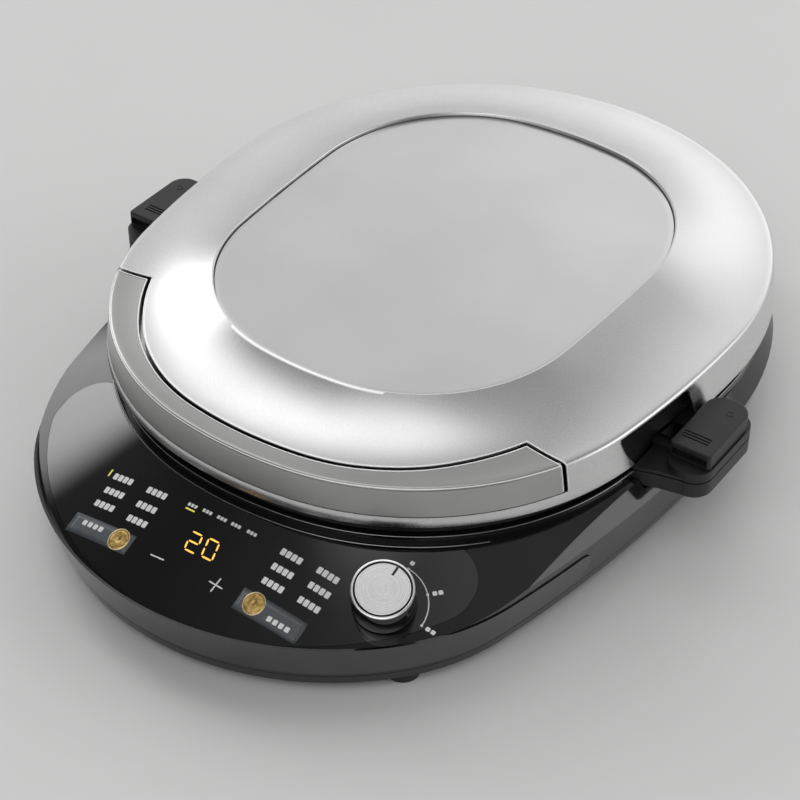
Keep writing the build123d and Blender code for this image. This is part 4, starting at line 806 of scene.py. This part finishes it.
marks = {  # millimetres in the plan, about the middle of the lid
    "lift": 0.02, "sink": 0.06, "thickness": 0.06,
    "labels": [(-62.5, -200.6), (-61.9, -208.8), (-61.9, -216.8), (-39.6, -200.8), (-39.6, -209.3), (-39.2, -217.6),
               (45.6, -199.0), (46.1, -207.2), (46.2, -215.3), (67.2, -197.9), (67.9, -206.1), (67.8, -214.6)],
    "labelTab": (2.7, 3.7), "labelStep": 3.3, "labelTabs": 4,
    "row": [(-17.2, -199.1), (-7.8, -198.8), (1.5, -198.7), (10.4, -198.6), (20.3, -198.4)],
    "rowTab": (1.6, 1.9), "rowStep": 2.1, "rowTabs": 3,
    "signs": [(-16.4, -229.4, 3.0), (20.5, -228.4, -3.0), (20.5, -228.4, 87.0)], "signSize": (8.6, 0.75),
    "lamps": [(-72.0, -199.8, 0.9, 4.2, 0.0), (-17.0, -201.5, 6.0, 0.9, 0.0)],
    "digits": [(-4.0, -215.2), (6.4, -214.6)], "digitSize": (6.6, 9.4), "digitBar": 0.95, "digitLean": -0.22,
    "digitCut": 0.9,  # share of the bar's width that a segment is short of its ends
    "keys": [(-53.6, -230.1, 40.0, 10.8), (53.9, -228.4, 38.8, 11.6)], "keySteps": (12, 4), "keyThickness": 0.07,
    "keyTab": (2.6, 2.9), "keyTabStep": 3.6, "keyTabs": 4, "keyTabShift": (6.5, 1.6), "keyTabTurn": 3.0,
    "discs": [(-41.7, -229.6), (43.6, -227.4)], "discRadius": 6.0, "discSides": 40,
    "discLayers": {"": ("disc_gold", 0.16, (0.02, 0.35, 0.7, 0.9)), "Rim": ("disc_rim", 0.26, (0.88, 0.94, 1.0))},
}


def deckTurn(normal, along):
    # rotation that lays a tab on the deck with its length along the given direction
    flat = (along - normal * along.dot(normal)).normalized()
    side = normal.cross(flat)
    return Matrix((flat, side, normal)).transposed().to_euler()


def tabObject(name, tabs, slotName, corner):
    # tabs: x, y, length, height, turn in the plan
    spots, turns, sizes = [], [], []
    for x, y, length, high, way in tabs:
        spot, normal = deckSpot(x, y, marks["lift"])
        angle = math.radians(way)
        spots.append((spot + Vector((0, lidY, 0))) * mm)
        turns.append(deckTurn(normal, Vector((math.cos(angle), math.sin(angle), 0))))
        sizes.append((length, high, 1.0))
    data = bpy.data.meshes.new(name)
    data.from_pydata(spots, [], [])
    for label, values in (("turn", turns), ("size", sizes)):
        attribute = data.attributes.new(label, "FLOAT_VECTOR", "POINT")
        attribute.data.foreach_set("vector", [c for value in values for c in value])
    obj = addObject(name, data)
    runTree(obj, labelTree, {"Side": mm, "Corner": corner * mm, "Thickness": marks["thickness"] * mm,
                             "Finish": materials[slotName]})
    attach(obj, "base")


def tabRow(x, y, count, size, step, way=0.0):
    # plain tabs side by side about one place
    return [(x + (i - (count - 1) / 2) * step, y, *size, way) for i in range(count)]


def makeLabels():
    # every label is a row of plain tabs: no lettering
    tabs = []
    for x, y in marks["labels"]:
        tabs += tabRow(x, y, marks["labelTabs"], marks["labelTab"], marks["labelStep"])
    for x, y in marks["row"]:
        tabs += tabRow(x, y, marks["rowTabs"], marks["rowTab"], marks["rowStep"])
    across, down = marks["keyTabShift"]
    for x, y, _, _ in marks["keys"]:
        side = -1 if x < 0 else 1
        tabs += tabRow(x + side * across, y - side * down, marks["keyTabs"], marks["keyTab"], marks["keyTabStep"],
                       marks["keyTabTurn"] * side)
    tabObject("deckLabels", tabs, "print_white", corner=0.18)
    signs = [(x, y, *marks["signSize"], way) for x, y, way in marks["signs"]]
    tabObject("deckSigns", signs, "print_white", corner=0.15)
    tabObject("deckLamps", marks["lamps"], "lamp_yellow", corner=0.15)


def makeDigits():
    # two seven-segment figures behind the glass
    wide, high = marks["digitSize"]
    bar, lean = marks["digitBar"], marks["digitLean"]
    lit = {"2": "abged", "0": "abcdef"}
    ends = {"a": ((0, 1), (1, 1)), "b": ((1, 1), (1, 0.5)), "c": ((1, 0.5), (1, 0)), "d": ((0, 0), (1, 0)),
            "e": ((0, 0.5), (0, 0)), "f": ((0, 1), (0, 0.5)), "g": ((0, 0.5), (1, 0.5))}
    tabs = []
    for figure, (cx, cy) in zip("20", marks["digits"]):
        for segment in lit[figure]:
            spots = []
            for u, v in ends[segment]:
                x, y = (u - 0.5) * wide, (v - 0.5) * high
                spots.append((cx + x + lean * y, cy + y))
            (x1, y1), (x2, y2) = spots
            length = math.hypot(x2 - x1, y2 - y1) - bar * marks["digitCut"]
            tabs.append(((x1 + x2) / 2, (y1 + y2) / 2, length, bar, math.degrees(math.atan2(y2 - y1, x2 - x1))))
    tabObject("displayFigures", tabs, "lamp_amber", corner=0.3)


def draped(name, rows, slotName, thickness):
    # a grid of plan points laid on the deck and given a thickness
    spots = [deckSpot(x, y, thickness - marks["sink"])[0] for row in rows for x, y in row]
    obj = meshObject(name, spots, gridFaces(len(rows), len(rows[0])), [slotName], smooth=40.0, outward=False)
    if obj.data.polygons[0].normal.z < 0:
        obj.data.flip_normals()
    thick = obj.modifiers.new("thick", "SOLIDIFY")
    thick.thickness = thickness * mm
    thick.offset = -1.0
    applyModifiers(obj)
    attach(obj, "base")


def makeKeys():
    columns, lines = marks["keySteps"]
    for name, (x, y, length, high) in zip(("leftKey", "rightKey"), marks["keys"]):
        rows = [[(x + u, y + v) for u in between(-length / 2, length / 2, columns)]
                for v in between(-high / 2, high / 2, lines)]
        draped(name, rows, "key_grey", marks["keyThickness"])
    for name, (x, y) in zip(("leftDisc", "rightDisc"), marks["discs"]):
        for layer, (slotName, thickness, shares) in marks["discLayers"].items():
            rows = [circleSpots(x, y, marks["discRadius"] * share, marks["discSides"]) for share in shares]
            draped(name + layer, rows, slotName, thickness)


def makeScale():
    # arc beside the dial with a dot at each position
    first, last = dial["scaleFrom"], dial["scaleTo"]
    line = []
    for way in between(first, last, 40):
        spot = dialSpot(math.radians(way), dial["scaleRadius"])
        line.append(deckSpot(spot.x, spot.y)[0])
    lineObject("dialScale", line, dial["scaleBead"], "print_white", "base")
    tabs = []
    for way in (first, (first + last) / 2, last):
        # the first position has no outermost tab
        for out, size in dial["scaleTabs"][:-1] if way == first else dial["scaleTabs"]:
            spot = dialSpot(math.radians(way), dial["scaleRadius"] + out)
            tabs.append((spot.x, spot.y, size, size, way + dial["tabTurn"]))
    tabObject("scaleTabs", tabs, "print_white", corner=0.25)


makeLabels()
makeDigits()
makeKeys()
makeScale()
print("deck marks ready")

edges = {"ringGrow": -1.7, "ringZ": 59.35, "ringRadius": 0.38, "glassGrow": 0.75, "glassEnd": -41.0,
         "glassRadius": 0.42}


def makeEdges():
    # a dark line round the ring under the lid, and one along the glass of the deck
    lineObject("ringEdge", loopOf(lidArcs, edges["ringGrow"], edges["ringZ"]), edges["ringRadius"], "edge_dark",
               "base", closed=True)
    plan = bothSides([planSpot(lidArcs, turn, edges["glassGrow"]) for turn in between(-90.0, edges["glassEnd"], 60)])
    lineObject("glassEdge", [deckSpot(x, y)[0] for x, y in plan], edges["glassRadius"], "edge_dark", "base")


makeEdges()
print("fine edges ready")

groove = {"bead": 0.42, "setBack": 0.35, "rimBead": 0.32, "rimTurn": 45.0, "foot": 76.0, "columns": 60,
          "endColumns": 8, "rimColumns": 80}


def grooveLine(gap, pull):
    # the edge of the groove: behind the handle, out along its end and down the skirt; one side of the lid
    inner = tipTurn(pull, gap)
    line = []
    for turn in between(-90.0, inner, groove["columns"]):
        line.append(lidTop(turn, shareAtInset(turn, hornInset(turn) - gap)))
    for turn in between(inner, cutTurn(-lid["rimRound"], pull), groove["endColumns"])[1:-1]:
        line.append(lidTop(turn, shareAtInset(turn, max(endInset(turn, pull), lid["rimRound"]))))
    for grow, z in reversed([spot for spot in sideProfile() if spot[1] > groove["foot"]]):
        line.append((*planSpot(lidArcs, cutTurn(grow, pull), grow), z))
    return line


def makeGroove():
    # painted highlights: near-white beads on both sides of the groove, which partly stand for bright-cut edges, and
    # one along the smooth rounded rim of the handle, which is only a painted highlight line
    back = groove["setBack"]  # the beads leave the groove its full width
    for name, gap, pull in (("lidGrooveEdge", -back, -back),
                            ("handleGrooveEdge", handle["gap"] + back, handle["endGap"] + back)):
        lineObject(name, bothSides(grooveLine(gap, pull)), groove["bead"], "bright_cut_highlight", "lid")
    # a bead on the rounded rim, where there is no edge: a painted highlight line
    grow, z = rimSpot(math.radians(groove["rimTurn"]))
    turns = between(-90.0, cutTurn(grow, handle["endGap"]), groove["rimColumns"])
    rim = [(*planSpot(lidArcs, turn, grow), z) for turn in turns]
    lineObject("handleRimHighlight", bothSides(rim), groove["rimBead"], "bright_cut_highlight", "lid")


makeGroove()
print("groove edges ready")

latchMark = {"x": 183.2, "y": -5.5, "z": 75.5, "radius": 1.9, "bead": 0.28, "sides": 32}


def makeLatchMarks():
    # a small raised ring near the back of each slider
    for side, name in ((-1, "left"), (1, "right")):
        plan = circleSpots(side * latchMark["x"], latchMark["y"], latchMark["radius"], latchMark["sides"])
        ring = [(x, y, latchMark["z"]) for x, y in plan[:-1]]
        lineObject("latchMark" + name.title(), ring, latchMark["bead"], "black_gloss", "latch_" + name, closed=True)


makeLatchMarks()
print("latch marks ready")

stage = {"floor": (0.82, 0.82, 0.815), "floorShade": 0.97, "floorRough": 0.45, "floorReach": 20.0,
         # place and level from the horizon to straight up
         "sky": [(0.0, 0.17), (0.16, 0.21), (0.50, 0.25), (0.68, 0.12), (0.84, 0.08), (0.96, 0.14), (1.0, 0.18)],
         "skyLevel": 4.4,
         # azimuth of the bright side, the range over which it fades, and what is left opposite
         "brightSide": 75.0, "sideFrom": -0.30, "sideTo": 0.80, "shadeShare": 0.16,
         # azimuth, elevation, inner and outer reach in degrees, strength
         "lobes": {"window": (164.0, 27.0, 6.0, 18.0, 2.6), "arch": (156.0, 52.0, 8.0, 14.0, 1.5),
                   "ceiling": (140.0, 72.0, 6.0, 16.0, 1.4), "backWindow": (101.0, 30.0, 4.0, 20.0, 0.5),
                   "rightWall": (26.0, 3.0, 8.0, 28.0, 1.3), "frontKey": (285.0, 52.0, 12.0, 34.0, 1.5)}}


def wayOf(azimuth, elevation):
    a, e = math.radians(azimuth), math.radians(elevation)
    return Vector((math.cos(a) * math.cos(e), math.sin(a) * math.cos(e), math.sin(e)))


def towards(tree, place, way, low, high, fromLow, fromHigh):
    # level by the angle from one direction
    dot = addNode(tree, "ShaderNodeVectorMath", {1: way}, operation="DOT_PRODUCT")
    wire(tree, (place, "Generated", dot, 0))
    return spread(tree, dot.outputs["Value"], low, high, fromLow, fromHigh, interpolation_type="SMOOTHSTEP")


def combined(tree, operation, first, second):
    node = addNode(tree, "ShaderNodeMath", operation=operation)
    for socket, value in zip(node.inputs, (first, second)):
        if isinstance(value, float):
            socket.default_value = value
        else:
            tree.links.new(value, socket)
    return node.outputs["Value"]


def makeSky(tree, background):
    # a pale sky, dimmer in front, with soft patches: a low window, an arch and a ceiling above it on the left,
    # a window behind, a pale wall on the right and a key light in front
    place = addNode(tree, "ShaderNodeTexCoord")
    split = addNode(tree, "ShaderNodeSeparateXYZ")
    ramp = addNode(tree, "ShaderNodeValToRGB")
    ramp.color_ramp.interpolation = "EASE"
    stops = ramp.color_ramp.elements
    while len(stops) < len(stage["sky"]):
        stops.new(0.5)
    for stop, (position, level) in zip(stops, stage["sky"]):
        stop.position = position
        stop.color = (level, level, level, 1)
    wire(tree, (place, "Generated", split, "Vector"), (split, "Z", ramp, "Fac"))
    side = towards(tree, place, wayOf(stage["brightSide"], 0.0), stage["shadeShare"], 1.0, stage["sideFrom"],
                   stage["sideTo"])
    level = combined(tree, "MULTIPLY", combined(tree, "MULTIPLY", ramp.outputs["Color"], stage["skyLevel"]), side)
    for azimuth, elevation, inner, outer, strength in stage["lobes"].values():
        patch = towards(tree, place, wayOf(azimuth, elevation), 0.0, strength, math.cos(math.radians(outer)),
                        math.cos(math.radians(inner)))
        level = combined(tree, "ADD", level, patch)
    tree.links.new(level, background.inputs["Strength"])


def makeStage():
    reach = stage["floorReach"]
    floorMesh = bpy.data.meshes.new("floor")
    floorMesh.from_pydata([(-reach, -reach, 0), (reach, -reach, 0), (reach, reach, 0), (-reach, reach, 0)], [],
                          [(0, 1, 2, 3)])
    floor = addObject("floor", floorMesh)
    material, tree, shader = newMaterial("paleFloor")
    shader.inputs["Roughness"].default_value = stage["floorRough"]
    shade = tuple(c * stage["floorShade"] for c in stage["floor"])
    tree.links.new(twoTone(tree, noiseOn(tree, 3.0, 5.0), shade, stage["floor"]), shader.inputs["Base Color"])
    floorMesh.materials.append(material)
    world = bpy.data.worlds.new("studio")
    scene.world = world
    world.use_nodes = True
    background = next(n for n in world.node_tree.nodes if n.type == "BACKGROUND")
    background.inputs["Color"].default_value = (1, 1, 1, 1)
    makeSky(world.node_tree, background)


makeStage()

view = {"azimuth": 35.1, "elevation": 39.0, "lens": 99.0, "sensor": 36.0, "distance": 1116.8,
        "target": (49.1, -91.1, 92.0)}


def makeCamera():
    azimuth, elevation = math.radians(view["azimuth"]), math.radians(view["elevation"])
    back = Vector((math.sin(azimuth) * math.cos(elevation), -math.cos(azimuth) * math.cos(elevation),
                   math.sin(elevation)))
    data = bpy.data.cameras.new("camera")
    data.lens = view["lens"]
    data.sensor_width = view["sensor"]
    data.clip_start = 0.01
    obj = addObject("camera", data)
    obj.location = (Vector(view["target"]) + back * view["distance"]) * mm
    obj.rotation_euler = (-back).to_track_quat("-Z", "Y").to_euler()
    scene.camera = obj


makeCamera()
print("stage and camera ready")
